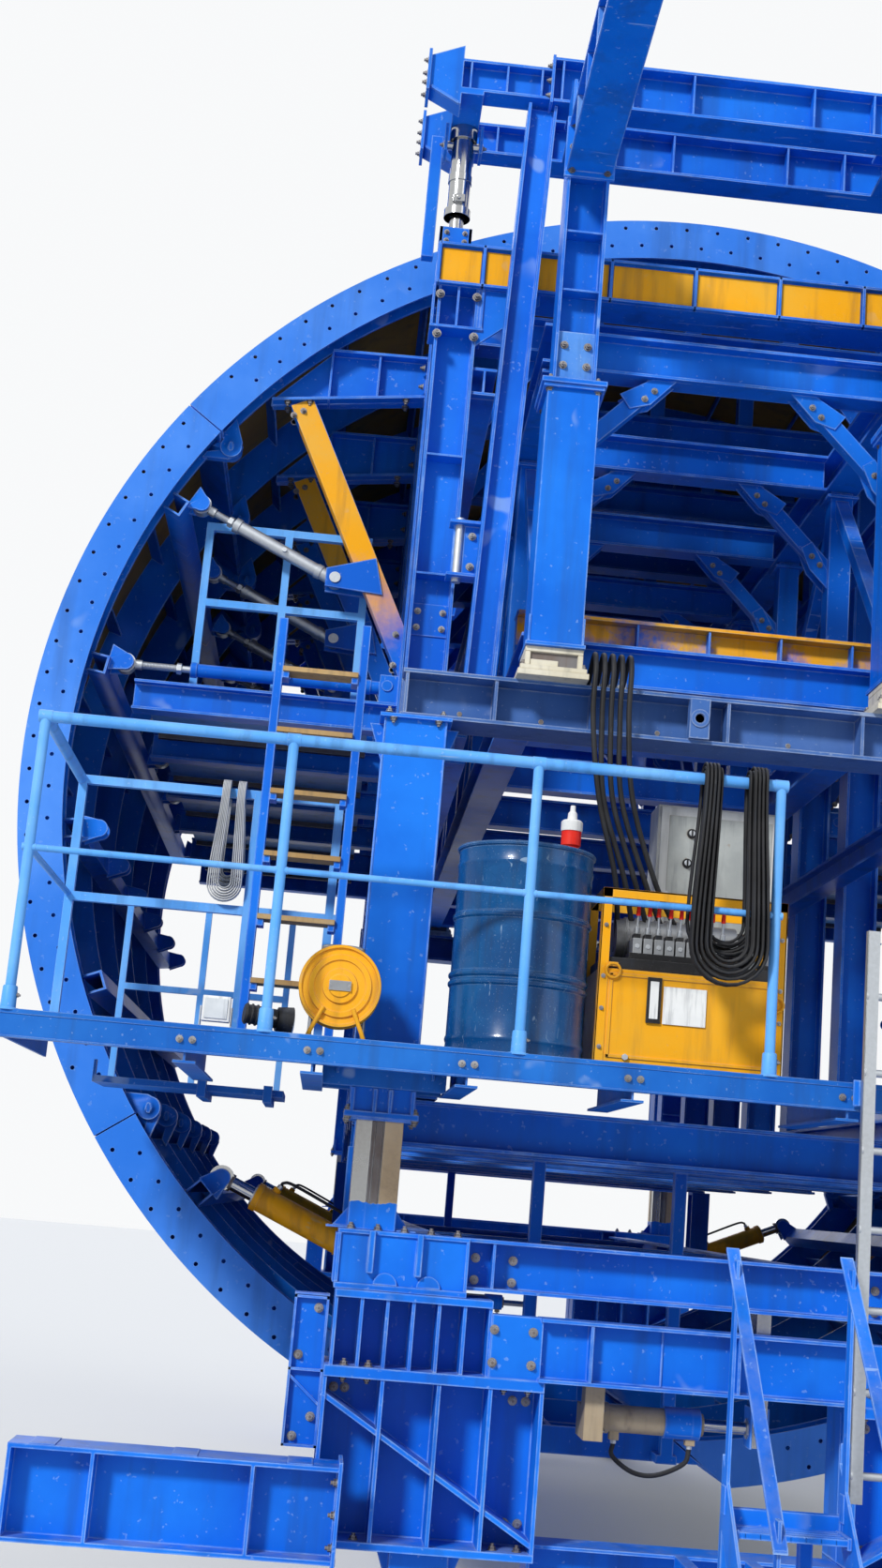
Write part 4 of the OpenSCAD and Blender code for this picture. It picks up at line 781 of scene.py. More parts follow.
def pack_frame(shape):
    """Tank, corner angles, top frame and the folded borders of the front sheet."""
    (x0, x1), (y0, y1), z, top = PACK_X, PACK_Y, DECK_Z, PACK_TOP
    tank = z + 0.42
    shape.box((x0 + 0.004, y0 + 0.004, z + 0.03), (x1 - 0.004, y1 - 0.004, tank))
    shape.box((x0 + 0.02, y0 + 0.02, tank), (x1 - 0.02, y1 - 0.02, z + 0.47), 1)
    for x, web_x in ((x0, x0), (x1 - 0.04, x1 - 0.006)):
        for y in (y0, y1 - 0.04):
            shape.box((x, y, z), (x + 0.04, y + 0.006, top))
            shape.box((web_x, y, z), (web_x + 0.006, y + 0.04, top))
    for y in (y0, y1 - 0.04):
        shape.box((x0, y, top - 0.04), (x1, y + 0.006, top))
        shape.box((x0, y, top - 0.008), (x1, y + 0.04, top))
    for x in (x0, x1 - 0.006):
        shape.box((x, y0, top - 0.04), (x + 0.006, y1, top))
    left, right, foot, head = x0 + 0.05, x1 - 0.05, z + 0.05, z + 0.40
    for a, b, low, high in ((left, left + 0.012, foot, head), (right - 0.012, right, foot, head),
                            (left, right, head - 0.01, head + 0.002), (left, right, foot, foot + 0.012)):
        shape.box((a, y0 - 0.002, low), (b, y0 + 0.01, high))


def pack_valves(shape):
    """Valve bank with its nine levers."""
    x0, y0, z = PACK_X[0], PACK_Y[0], DECK_Z
    shape.box((x0 + 0.13, y0 + 0.05, z + 0.46), (x0 + 0.60, y0 + 0.22, z + 0.50), 1)
    for i in range(9):
        x = x0 + 0.165 + i * 0.046
        lean = x + 0.004 * math.sin(2.3 * i)
        shape.box((x - 0.019, y0 + 0.06, z + 0.50), (x + 0.019, y0 + 0.20, z + 0.565), 2)
        shape.box((x - 0.014, y0 + 0.07, z + 0.565), (x + 0.014, y0 + 0.13, z + 0.585), 1)
        shape.rod((x, y0 + 0.10, z + 0.575), (x, y0 + 0.092, z + 0.615), 0.011, 4, 14)
        shape.rod((x, y0 + 0.092, z + 0.61), (lean, y0 + 0.078, z + 0.665), 0.0055, 4, 12)
        shape.rod((lean, y0 + 0.078, z + 0.662), (lean, y0 + 0.072, z + 0.705), 0.010, 3, 14, 0.008)
        shape.rod((x, y0 + 0.055, z + 0.53), (x, y0 + 0.075, z + 0.53), 0.010, 4, 6)


def pack_motor(shape):
    """Motor behind the levers, with its cooling ribs, end bell and feet."""
    x0, x1 = PACK_X

    def drum(start, end, radius, slot, sides):
        shape.rod((start, MOTOR_Y, MOTOR_Z), (end, MOTOR_Y, MOTOR_Z), radius, slot, sides)

    drum(x0 + 0.10, x1 - 0.16, 0.095, 2, 32)
    drum(x1 - 0.16, x1 - 0.09, 0.075, 1, 28)
    for k in range(9):
        drum(x0 + 0.14 + k * 0.045, x0 + 0.152 + k * 0.045, 0.104, 2, 32)
    for x in (x0 + 0.16, x1 - 0.24):
        shape.box((x, MOTOR_Y - 0.06, DECK_Z + 0.46), (x + 0.04, MOTOR_Y + 0.06, DECK_Z + 0.53), 1)


def pack_fittings(shape):
    """Filler cap, level gauge, blank label, drain, lifting rings and hose connections."""
    x1, y0, z = PACK_X[1], PACK_Y[0], DECK_Z
    cap = [(0, 0), (0.030, 0), (0.030, 0.02), (0.024, 0.03), (0, 0.03)]
    shape.turned(cap, (x1 - 0.07, y0 + 0.10, z + 0.468), sides=24, slot=1)
    shape.box((-0.342, y0 - 0.010, z + 0.205), (-0.282, y0, z + 0.395), 1)
    shape.box((-0.330, y0 - 0.013, z + 0.222), (-0.294, y0 - 0.010, z + 0.378), 5)
    shape.box((-0.272, y0 - 0.0035, z + 0.205), (-0.090, y0 - 0.0015, z + 0.362), 5)
    shape.rod((-0.42, y0 - 0.012, z + 0.055), (-0.42, y0 + 0.002, z + 0.055), 0.014, 4, 6)
    for x, height in ((-0.49, z + 0.41), (0.205, z + 0.325)):
        angles = [2 * math.pi * k / 24 for k in range(25)]
        ring = [(x + 0.030 * math.cos(a), y0 - 0.008, height + 0.030 * math.sin(a)) for a in angles]
        shape.tube(ring, 0.006, 0, 8)
        shape.box((x - 0.02, y0 - 0.006, height + 0.018), (x + 0.02, y0 + 0.004, height + 0.036))
    for x in HOSE_END_X:
        shape.rod((x, -4.39, z + 0.465), (x, -4.39, z + 0.505), 0.019, 4, 6)
        shape.rod((x, -4.39, z + 0.505), (x, -4.39, z + 0.530), 0.015, 4, 18)


def add_pack():
    shape = Shape()
    for part in (pack_frame, pack_valves, pack_motor, pack_fittings):
        part(shape)
    shape.piece("power_pack_unit", "gantry", [YELLOW_PAINT, BLACK_PAINT, VALVE_GREY, RED_PAINT, ZINC, LABEL_WHITE],
                0.002, node="power_pack", slot="yellow_paint")
    screws = [((x, PACK_Y[0] - 0.001, DECK_Z + h), (0, -1, 0))
              for x in (PACK_X[0] + 0.02, PACK_X[1] - 0.02) for h in (0.09, 0.25, 0.385, 0.60)]
    bolts("power_pack_screws", "gantry", screws, 0.013)


def add_cabinet():
    x0, x1, y0, y1, z = -0.23, 0.35, -4.08, -3.84, DECK_Z + 0.5
    shape = Shape()
    shape.box((x0, y0 + 0.022, z), (x1, y1, z + 0.78))
    shape.box((x0 + 0.012, y0 + 0.004, z + 0.012), (x1 - 0.012, y0 + 0.020, z + 0.768))
    shape.box((x0 + 0.05, y0 + 0.001, z + 0.05), (x1 - 0.05, y0 + 0.005, z + 0.73), 3)
    for h in (0.12, 0.39, 0.66):
        shape.rod((x1 - 0.006, y0 + 0.012, z + h - 0.03), (x1 - 0.006, y0 + 0.012, z + h + 0.03), 0.009, 2, 12)
    for x, h in ((x0 + 0.155, z + 0.65), (x0 + 0.14, z + 0.51)):
        shape.rod((x, y0 + 0.002, h), (x, y0 - 0.008, h), 0.022, 1, 24)
        shape.rod((x, y0 - 0.008, h), (x, y0 - 0.016, h), 0.014, 2, 20)
        shape.box((x - 0.004, y0 - 0.02, h - 0.018), (x + 0.004, y0 - 0.012, h + 0.018), 1)
    shape.rod((x0 + 0.05, y0 + 0.002, z + 0.36), (x0 + 0.05, y0 - 0.01, z + 0.36), 0.012, 2, 16)
    for x in (x0 + 0.03, x1 - 0.06):
        shape.box((x, y0 + 0.08, DECK_Z), (x + 0.03, y0 + 0.14, z))
        shape.box((x - 0.02, y0 + 0.05, DECK_Z), (x + 0.05, y0 + 0.17, DECK_Z + 0.006))
    for x in (x0 + 0.10, x0 + 0.22, x0 + 0.34):
        shape.rod((x, y0 + 0.13, z - 0.03), (x, y0 + 0.13, z + 0.002), 0.016, 1, 18)
    shape.piece("cabinet_case", "gantry", [CABINET_GREY, BLACK_PAINT, ZINC, CABINET_DOOR], 0.003,
                node="control_cabinet", slot="grey_paint")


REEL_FACE = [(0, -0.012), (0.045, -0.012), (0.050, -0.006), (0.070, -0.006), (0.074, 0.004), (0.104, 0.004),
             (0.108, -0.003), (0.128, -0.003), (0.132, 0.006), (0.154, 0.006), (0.158, -0.005), (0.168, -0.005),
             (0.170, 0.004), (0.168, 0.012), (0.10, 0.014), (0, 0.014)]
REEL_BACK = [(0, 0.10), (0.10, 0.10), (0.168, 0.106), (0.170, 0.114), (0.168, 0.122), (0, 0.122)]


def add_reel():
    x, y, z = -1.62, -4.76, DECK_Z + 0.235
    back = (0, 1, 0)
    shape = Shape()
    shape.turned(REEL_FACE, (x, y - 0.017, z), back, 72)
    shape.turned(REEL_BACK, (x, y - 0.017, z), back, 72)
    for r in (0.112, 0.125, 0.138):
        for k in range(7):
            shape.turned([(r - 0.006, -0.006), (r, -0.0065), (r + 0.006, 0), (r, 0.0065), (r - 0.006, 0.006)],
                         (x, y + 0.002 + 0.0125 * k, z), back, 40, 1)
    shape.turned([(0, 0), (0.11, 0), (0.11, 0.09), (0, 0.09)], (x, y - 0.006, z), back, 40, 1)
    shape.box((x - 0.045, y - 0.034, z - 0.020), (x + 0.045, y - 0.030, z + 0.020), 2)
    for dx in both(0.04):
        shape.rod((x + dx, y - 0.036, z), (x + dx, y - 0.026, z), 0.005, 2, 8)
    # Stand of bent pipe, with its carrying handle and feet
    half = [(0.11, 0.118, DECK_Z + 0.02), (0.105, 0.118, z + 0.02), (0.085, 0.112, z + 0.15), (0.06, 0.10, z + 0.172)]
    grip = [(x - a, y + b, h) for a, b, h in half] + [(x + a, y + b, h) for a, b, h in half[::-1]]
    shape.tube(smooth_path(grip, 6), 0.010, 2, 12)
    for side in both(1):
        foot = [(0.11, 0.125, DECK_Z + 0.012), (0.115, 0.02, DECK_Z + 0.012), (0.112, -0.022, DECK_Z + 0.03),
                (0.06, -0.025, z - 0.09)]
        shape.tube(smooth_path([(x + side * a, y + b, h) for a, b, h in foot], 6), 0.009, 0, 12)
    shape.piece("reel_discs", "gantry", [YELLOW_PAINT, RUBBER, VALVE_GREY], 0, 30, node="cable_reel",
                slot="yellow_paint")


def add_lamps():
    """A square work lamp on its bracket, and a round one lying beside it."""
    z = DECK_Z
    shape = Shape()
    shape.box((-2.155, -4.99, z + 0.03), (-2.045, -4.93, z + 0.13))
    shape.box((-2.145, -4.995, z + 0.04), (-2.055, -4.988, z + 0.12), 1)
    for x in (-2.165, -2.041):
        shape.box((x, -4.97, z), (x + 0.006, -4.945, z + 0.09), 2)
    shape.box((-2.165, -4.97, z), (-2.035, -4.945, z + 0.005), 2)
    shape.rod((-1.99, -4.96, z + 0.075), (-1.86, -4.93, z + 0.065), 0.038, 3, 28)
    shape.rod((-1.86, -4.93, z + 0.065), (-1.80, -4.917, z + 0.06), 0.048, 3, 28, 0.058)
    shape.rod((-1.802, -4.9172, z + 0.06), (-1.796, -4.916, z + 0.06), 0.054, 1, 28)
    start, end = Vector((-1.985, -4.959, z + 0.0748)), Vector((-1.87, -4.932, z + 0.0655))
    for k in range(5):
        shape.rod(start.lerp(end, 0.18 * k), start.lerp(end, 0.18 * k + 0.06), 0.043, 3, 28)
    shape.box((-1.93, -4.965, z), (-1.91, -4.925, z + 0.04), 3)
    shape.piece("work_lamps", "gantry", [WHITE_PLASTIC, LAMP_GLASS, ZINC, BLACK_PAINT], 0.002)


# Handrails, ladders and edges of the platform

RAIL_Y = -5.02
POST_PITCH = 1.006
DECK_END = 2.906
DECK_FRONT = -5.05


def add_rail_sockets():
    shape, places = Shape(), []
    posts = [POST_PITCH * i - DECK_END for i in range(6)] + [DECK_END]
    socket = [(0, 0), (0.045, 0), (0.045, 0.008), (0.031, 0.010), (0.029, 0.09), (0.0265, 0.096), (0, 0.096)]
    for x in posts:
        shape.turned(socket, (x, RAIL_Y, DECK_Z), sides=28)
        places.append(((x + 0.029, RAIL_Y, DECK_Z + 0.06), (1, 0, 0)))
    for x in (-2.9, -2.08, -1.70, 1.72, 2.10, 2.90):
        shape.box((x - 0.04, -3.86, DECK_Z), (x + 0.04, -3.785, DECK_Z + 0.008))
    for x in posts:
        for z, size in ((1.19, 0.0262), (0.65, 0.0155)):
            shape.rod((x - 0.028, RAIL_Y, DECK_Z + z), (x + 0.028, RAIL_Y, DECK_Z + z), size, sides=24)
    shape.piece("rail_sockets", "gantry", [RAIL_BLUE], 0.0015)
    bolts("rail_bolts", "gantry", places, 0.014)


def add_deck_details():
    """Lips of the deck's edge beam and the stiffeners in it."""
    shape, places = Shape(), []
    y0 = DECK_FRONT
    shape.box((-2.93, y0 - 0.004, DECK_Z - 0.014), (2.93, y0 + 0.002, DECK_Z + 0.006))
    shape.box((-2.93, y0 - 0.004, DECK_Z - 0.106), (2.93, y0 + 0.05, DECK_Z - 0.098))
    for x in (-2.2, -1.7, -1.09, -0.43, 0.43, 1.09, 1.7, 2.2):
        shape.box((x - 0.005, y0 + 0.012, DECK_Z - 0.098), (x + 0.005, y0 + 0.10, DECK_Z - 0.01))
        places += [((x + dx, y0, DECK_Z - 0.055), (0, -1, 0)) for dx in both(0.025)]
    for x in both(LEG_X):
        for dx in both(0.20):
            shape.box((x + dx - 0.005, -4.56, DECK_Z - 0.10), (x + dx + 0.005, -4.50, DECK_Z - 0.02))
    # The darker deck blue of these lips and stiffeners is painted shade.
    shape.piece("deck_edge_details", "gantry", [SHADED_DECK_BLUE], 0.0015, slot="rail_paint")
    bolts("deck_bolts", "gantry", places, 0.02)


def add_ladders():
    """Wooden treads between the blue side rails, and the zinc ladder at the platform's front."""
    shape, places = Shape(), []
    y = -4.01
    for x in (-2.04, -1.65):
        shape.slab(x, y, (DECK_Z, DECK_Z + 2.0), 0.02, 0.04, 1)
    for i in range(1, 7):
        z = DECK_Z + 0.29 * i
        shape.box((-2.02, y - 0.06, z), (-1.67, y + 0.06, z + 0.024), 2)
        for x in (-2.02, -1.70):
            shape.box((x, y - 0.05, z - 0.03), (x + 0.03, y + 0.05, z), 1)
    y, foot, head = -5.18, 1.05, DECK_Z + 0.6
    for x, web in ((0.45, 0.45), (0.85, 0.894)):
        shape.box((web, y, foot), (web + 0.006, y + 0.03, head))
        for dy in (0.0, 0.025):
            shape.box((x, y + dy, foot), (x + 0.05, y + dy + 0.005, head))
    for i in range(7):
        z = foot + 0.1 + 0.3 * i
        shape.rod((0.452, y + 0.015, z), (0.898, y + 0.015, z), 0.015, 0, 16)
        for x in (0.456, 0.894):
            shape.rod((x - 0.004, y + 0.015, z), (x + 0.004, y + 0.015, z), 0.021, 0, 16)
    for x, away in ((0.45, -1), (0.90, 1)):
        for z, depth in ((DECK_Z - 0.06, 0.12), (DECK_Z - 0.75, 0.075), (DECK_Z - 1.42, 0.075)):
            shape.box((x - 0.03, y + 0.03, z - 0.03), (x + 0.03, y + 0.036, z + 0.07), 1)
            shape.box((x - 0.004, y + 0.03, z - 0.03), (x + 0.004, y + depth, z + 0.07), 1)
            places.append(((x + away * 0.016, y + 0.036, z + 0.02), (0, 1, 0)))
    shape.piece("ladder_details", "gantry", [ZINC, BLUE, WOOD], 0.0015, node="platform_ladder", slot="zinc_steel")
    bolts("ladder_bolts", "gantry", places, 0.017)


# Forms: bolt holes in the end plates, bare outer skin, ochre inner cells

HOLE_R = 0.011
HOLE_PITCH = 0.175
HOLE_ROWS = ((SHELL_R - 0.045, 0.25), (SHELL_R - 0.150, 0.75))


def on_ring(radius, degrees, y=0.0):
    a = math.radians(degrees)
    return Vector((radius * math.cos(a), y, AXIS_Z + radius * math.sin(a)))


def hole_cutter(first, last):
    """Pins that bore both end plates of a form between two angles, in two staggered rows."""
    shape = Shape()
    step = math.degrees(HOLE_PITCH / SHELL_R)
    reach = Vector((0, 0.04, 0))
    for radius, lag in HOLE_ROWS:
        for i in range(int((last - first) / step - lag)):
            for y in both(HALF_LEN):
                middle = on_ring(radius, first + (i + lag) * step, y)
                shape.rod(middle - reach, middle + reach, HOLE_R, sides=10)
    return shape.data("cutter")


def form_slot(face):
    """Number of the material of a form's face: skin outside, ochre cells inside, end plates in a paler blue with
    painted sheen, else paint.
    """
    radius = math.hypot(face.center.x, face.center.z - AXIS_Z)
    outward = Vector((face.center.x, 0, face.center.z - AXIS_Z)).dot(face.normal) / radius
    if radius > SHELL_R - 0.004 and outward > 0.5:
        return 1
    if radius > SHELL_R - 0.03 and outward < -0.5:
        return 2
    if abs(face.center.y) > HALF_LEN - 0.02 and abs(face.normal.y) > 0.9:
        return 3
    return 0


def ring_form(node_name, body, first, last):
    """A form with its end plates bored, in place of the plain one."""
    shape = Shape()
    shape.mesh.from_mesh(NODES[node_name].data)
    bmesh.ops.remove_doubles(shape.mesh, verts=shape.mesh.verts, dist=1e-5)
    work = bpy.data.objects.new(node_name + "_work", shape.data(node_name + "_closed"))
    pins = bpy.data.objects.new(node_name + "_pins", hole_cutter(first + 1.0, last - 1.0))
    for thing in (work, pins):
        bpy.context.scene.collection.objects.link(thing)
    cut = work.modifiers.new("holes", "BOOLEAN")
    cut.operation = "DIFFERENCE"
    cut.solver = "MANIFOLD"
    cut.object = pins
    data = bpy.data.meshes.new_from_object(work.evaluated_get(bpy.context.evaluated_depsgraph_get()))
    data.name = node_name + "_bored"
    data.materials.clear()
    for material in (BLUE, BARE_SKIN, OCHRE, RING_BLUE_SHEEN):
        data.materials.append(material)
    for face in data.polygons:
        face.material_index = form_slot(face)
    for thing in (work, pins):
        bpy.data.objects.remove(thing)
    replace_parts(finished(node_name + "_bored", body, data, 0.0, 25), node_name)


# Stiffeners, splice plates and bolts of the form frame

END_BEAM_Z = 6.38
END_COL_Y = 3.93
FORM_COL_X = 1.36
BEAM_CELLS = (-1.47, -1.25, -1.05, -0.62, -0.2, 0.22, 0.64, 1.07, 1.27, 1.47)


def end_beam_cells():
    """The end beams of the form frame: yellow webs in cells between pale stiffeners."""
    shape = Shape()
    z0, z1 = END_BEAM_Z, END_BEAM_Z + 0.22
    for side in both(1):
        y = side * (END_COL_Y + 0.11)
        for x0, x1 in zip(BEAM_CELLS, BEAM_CELLS[1:]):
            shape.box((x0 + 0.012, y, z0 + 0.022), (x1 - 0.012, y + side * 0.005, z1 - 0.022), 1)
        for x in BEAM_CELLS:
            shape.box((x - 0.007, y, z0), (x + 0.007, y + side * 0.028, z1))
        for z in (z0, z1 - 0.014):
            shape.box((BEAM_CELLS[0], y, z), (BEAM_CELLS[-1], y + side * 0.028, z + 0.014))
    shape.piece("end_beam_cells", "form_frame", [BLUE, YELLOW_PAINT], 0.002)


def column_heads():
    """Heads on the end columns of the form frame, with their corner gussets."""
    shape, places = Shape(), []
    top = END_BEAM_Z
    for sx, side in QUARTERS:
        x, y = sx * FORM_COL_X, side * (END_COL_Y + 0.1)
        outer, inner = y + side * 0.012, y - side * 0.2
        shape.box((x - 0.13, inner, top - 0.22), (x + 0.13, outer, top - 0.206))
        for dx in (-0.12, 0.0, 0.12):
            shape.box((x + dx - 0.006, inner, top - 0.206), (x + dx + 0.006, outer, top))
        edge, far = x - sx * 0.1, x - sx * 0.4
        shape.plate([(edge, top), (far, top), (far, top - 0.05), (edge, top - 0.30)], y, y - side * 0.012)
        places += [((x + dx, outer, top - drop), (0, side, 0)) for dx in both(0.09) for drop in (0.05, 0.26)]
        places.append(((x - sx * 0.32, y, top - 0.06), (0, side, 0)))
    shape.piece("column_heads", "form_frame", [BLUE], 0.002)
    bolts("column_head_bolts", "form_frame", places, 0.03)


def cantilever_details():
    """Lower flanges, tip stiffeners and bolts of the cantilevers that reach the forms."""
    shape, places = Shape(), []
    for side in both(1):
        for y in FRAME_YS:
            for x, low in ((1.98, AXIS_Z + 2.11), (1.72, AXIS_Z + 2.15)):
                shape.slab(side * x, y, (low, AXIS_Z + 2.40), 0.006, 0.06)
            for x in (2.20, 2.08, 1.56):
                z = AXIS_Z + 2.088 + (2.285 - x) * 0.1236 - 0.011
                places += [((side * x, y + dy, z), (0, 0, -1)) for dy in both(0.045)]
            places += [((side * 1.472, y + dy, AXIS_Z + z), (side, 0, 0)) for z in (2.25, 2.36) for dy in both(0.05)]
    shape.piece("cantilever_stiffeners", "form_frame", [BLUE], 0.002)
    bolts("cantilever_bolts", "form_frame", places, 0.027)


# Feet, base and legs


def add_leg_rams():
    """Square rams: bright where they slide, with an oil groove, and painted at their foot."""
    chance = random.Random(3)
    shape = Shape()
    z0, z1 = 1.88, 3.5
    for x, y, _, _ in CORNERS:
        shape.slab(x, y, (z0, z1), 0.090, 0.090, 3)
        for sx, sy in QUARTERS:
            left = sx * sy > 0
            inner = 0.032 if left else 0.020
            shape.box((x + sx * inner, y + sy * 0.02, z0), (x + sx * 0.1, y + sy * 0.1, z1), 1 if left else 0)
        for sy in both(1):
            shape.box((x - 0.016, y + sy * 0.02, z0), (x + 0.016, y + sy * 0.097, z1), 3)
            top = [(x - 0.101 + 0.0101 * k, z0 + 0.112 + chance.uniform(-0.003, 0.003) + 0.005 * math.sin(0.45 * k))
                   for k in range(21)]
            shape.plate([(x - 0.101, z0), *top, (x + 0.101, z0)], y + sy * 0.101, y + sy * 0.071, 2)
        for sx in both(1):
            shape.box((x + sx * 0.1012, y - 0.09, z0), (x + sx * 0.0712, y + 0.09, z0 + 0.11), 2)
            shape.bar((x + sx * 0.10, y, z0 + 0.004), (x + sx * 0.19, y, z0 + 0.004), 0.008, 0.18, 2)
            shape.plate([(x + sx * 0.10, z0), (x + sx * 0.17, z0), (x + sx * 0.10, z0 + 0.09)], y - 0.006, y + 0.006, 2)
    shape.piece("leg_ram_faces", "undercarriage", [RAM_STEEL, BRIGHT_STEEL, BLUE, DARK_STEEL], 0.006,
                node="leg_rams", slot="ram_steel")


FOOT_Z = (1.64, 1.88)
GIRDER_Z = (1.708, 1.822)


def add_foot_details():
    """Borders, humps, ribs and bolts of the foot boxes."""
    shape, places = Shape(), []
    low_z, high_z = FOOT_Z
    for _, y, sx, sy in CORNERS:
        low_x, high_x = sorted((sx * 0.98, sx * 1.53))
        face, outer = y + sy * 0.15, sx * 1.531
        for x0, x1, z0, z1, out in ((low_x, high_x, high_z - 0.018, high_z, 0.012),
                                    (low_x, high_x, low_z, low_z + 0.024, 0.034),
                                    (low_x, low_x + 0.014, low_z + 0.024, high_z - 0.018, 0.012),
                                    (high_x - 0.014, high_x, low_z + 0.024, high_z - 0.018, 0.012)):
            shape.box((x0, face, z0), (x1, face + sy * out, z1))
        for k in (0.21, 0.39):
            hump = [(low_x + k + 0.05 * math.cos(math.pi * i / 12), low_z + 0.024 + 0.05 * math.sin(math.pi * i / 12))
                    for i in range(13)]
            shape.plate(hump, face, face + sy * 0.016)
        places += [((low_x + 0.05 + 0.1125 * k, y + sy * 0.11, high_z), (0, 0, 1)) for k in range(5)]
        for dy in (-0.12, 0.0, 0.12):
            shape.box((outer - sx * 0.012, y + dy - 0.006, 1.66), (outer + sx * 0.008, y + dy + 0.006, 1.86))
        places += [((sx * (0.98 - dx), y + sy * 0.008, z), (0, sy, 0)) for dx in (0.04, 0.20) for z in (1.71, 1.80)]
    shape.piece("foot_box_borders", "undercarriage", [BLUE], 0.002)
    bolts("foot_bolts", "undercarriage", places, 0.026)


def add_girder_details():
    shape = Shape()
    for y in both(LEG_Y):
        for x in both(0.87):
            shape.slab(x, y, (1.684, 1.866), 0.006, 0.105)
    for x in both(1.0):
        for y in (-3.6, -3.0, -1.8, -1.2, -0.6, 0.6, 1.2, 1.8, 3.0, 3.6):
            shape.slab(x, y, GIRDER_Z, 0.078, 0.005)
    shape.piece("girder_stiffeners", "undercarriage", [BLUE], 0.0015)


def beads(shape, lines, radius=0.0045, slot=0):
    """Weld beads along straight lines."""
    for start, end in lines:
        shape.rod(start, end, radius, slot, 8)


WING_X = (1.541, 1.684)
WING_Y = 4.40
WING_Z = (1.002, 1.598)


def add_wing(shape, places, sx, sy):
    """Borders, ribs and bolts on the face of a tower's side wing."""
    x0, x1 = sorted(sx * x for x in WING_X)
    face, out = sy * WING_Y, sy * (WING_Y + 0.030)
    z0, z1 = WING_Z
    for x in (x0, x1 - 0.010):
        shape.box((x, face, z0), (x + 0.010, out, z1))
    for z in (z0, 1.30, z1 - 0.010):
        shape.box((x0, face, z), (x1, out, z + 0.010))
    shape.bar((x0 + 0.006, face + sy * 0.012, 1.28), (x1 - 0.006, face + sy * 0.012, 1.17), 0.010, 0.024)
    for x, z in ((x0 + 0.035, 1.36), (x1 - 0.035, 1.12), (x0 + 0.04, 1.04), (x1 - 0.04, 1.55)):
        places.append(((x, face, z), (0, sy, 0)))


def add_yoke_details(shape, places, sx, sy):
    """Axle keepers and gussets on the two cheeks of a wheel's yoke."""
    y = sy * LEG_Y
    for away in both(1):
        x = sx * 1.09 + away * 0.12
        shape.box((x, y - 0.07, 0.225), (x + away * 0.012, y + 0.07, 0.262))
        places += [((x + away * 0.012, y + dy, 0.244), (away, 0, 0)) for dy in both(0.05)]
        for dy in (-0.13, 0.0, 0.13):
            shape.plate([(x, 0.50), (x + away * 0.055, 0.648), (x, 0.648)], y + dy - 0.006, y + dy + 0.006)


def add_base_details():
    """Welds, flanges and bolts of the towers, their wings and yokes, and the slide beam between them."""
    for end, sy in ENDS:
        shape, places, welds = Shape(), [], []
        y_front, y_web = sy * 4.55, sy * 4.34
        y_weld = y_web + sy * 0.012
        for sx in both(1):
            for x in (0.64, 0.85, 1.06, 1.29, 1.524):
                welds += [((sx * (x + dx), y_weld, 0.676), (sx * (x + dx), y_weld, 1.298)) for dx in (0.0, 0.016)]
            welds += [((sx * 0.66, y_weld, z), (sx * 1.52, y_weld, z)) for z in (0.676, 1.298)]
            for x in (0.70, 0.80, 1.36, 1.46):
                places.append(((sx * x, y_front - sy * 0.06, 1.34), (0, 0, 1)))
                places.append(((sx * x, y_front - sy * 0.06, 1.30), (0, 0, -1)))
                places.append(((sx * x, y_front - sy * 0.07, 0.674), (0, 0, 1)))
            places += [((sx * x, y_web + sy * 0.008, z), (0, sy, 0))
                       for x in (0.69, 0.745, 1.445, 1.49) for z in (0.76, 1.24)]
            for z0, z1 in ((1.298, 1.342), (0.648, 0.678)):
                shape.box((sx * 0.64, y_front, z0), (sx * 1.54, y_front + sy * 0.006, z1))
            shape.box((sx * 1.54, y_web - 0.06, 1.598), (sx * 1.685, y_web + 0.06, 1.606))
            add_wing(shape, places, sx, sy)
            add_yoke_details(shape, places, sx, sy)
        places += [((x, sy * 4.54, z), (0, sy, 0)) for x in (-0.86, -0.70, 0.70, 0.86) for z in (1.40, 1.53)]
        welds += [((x, sy * 4.51, 1.356), (x, sy * 4.51, 1.574)) for x in (-0.16, -0.445, 0.165)]
        beads(shape, welds)
        shape.piece(f"{end}_base_details", f"{end}_base", [BLUE], 0)
        bolts(f"{end}_base_bolts", f"{end}_base", places, 0.026)


SHIFT_Y = 4.32
SHIFT_Z = 1.2


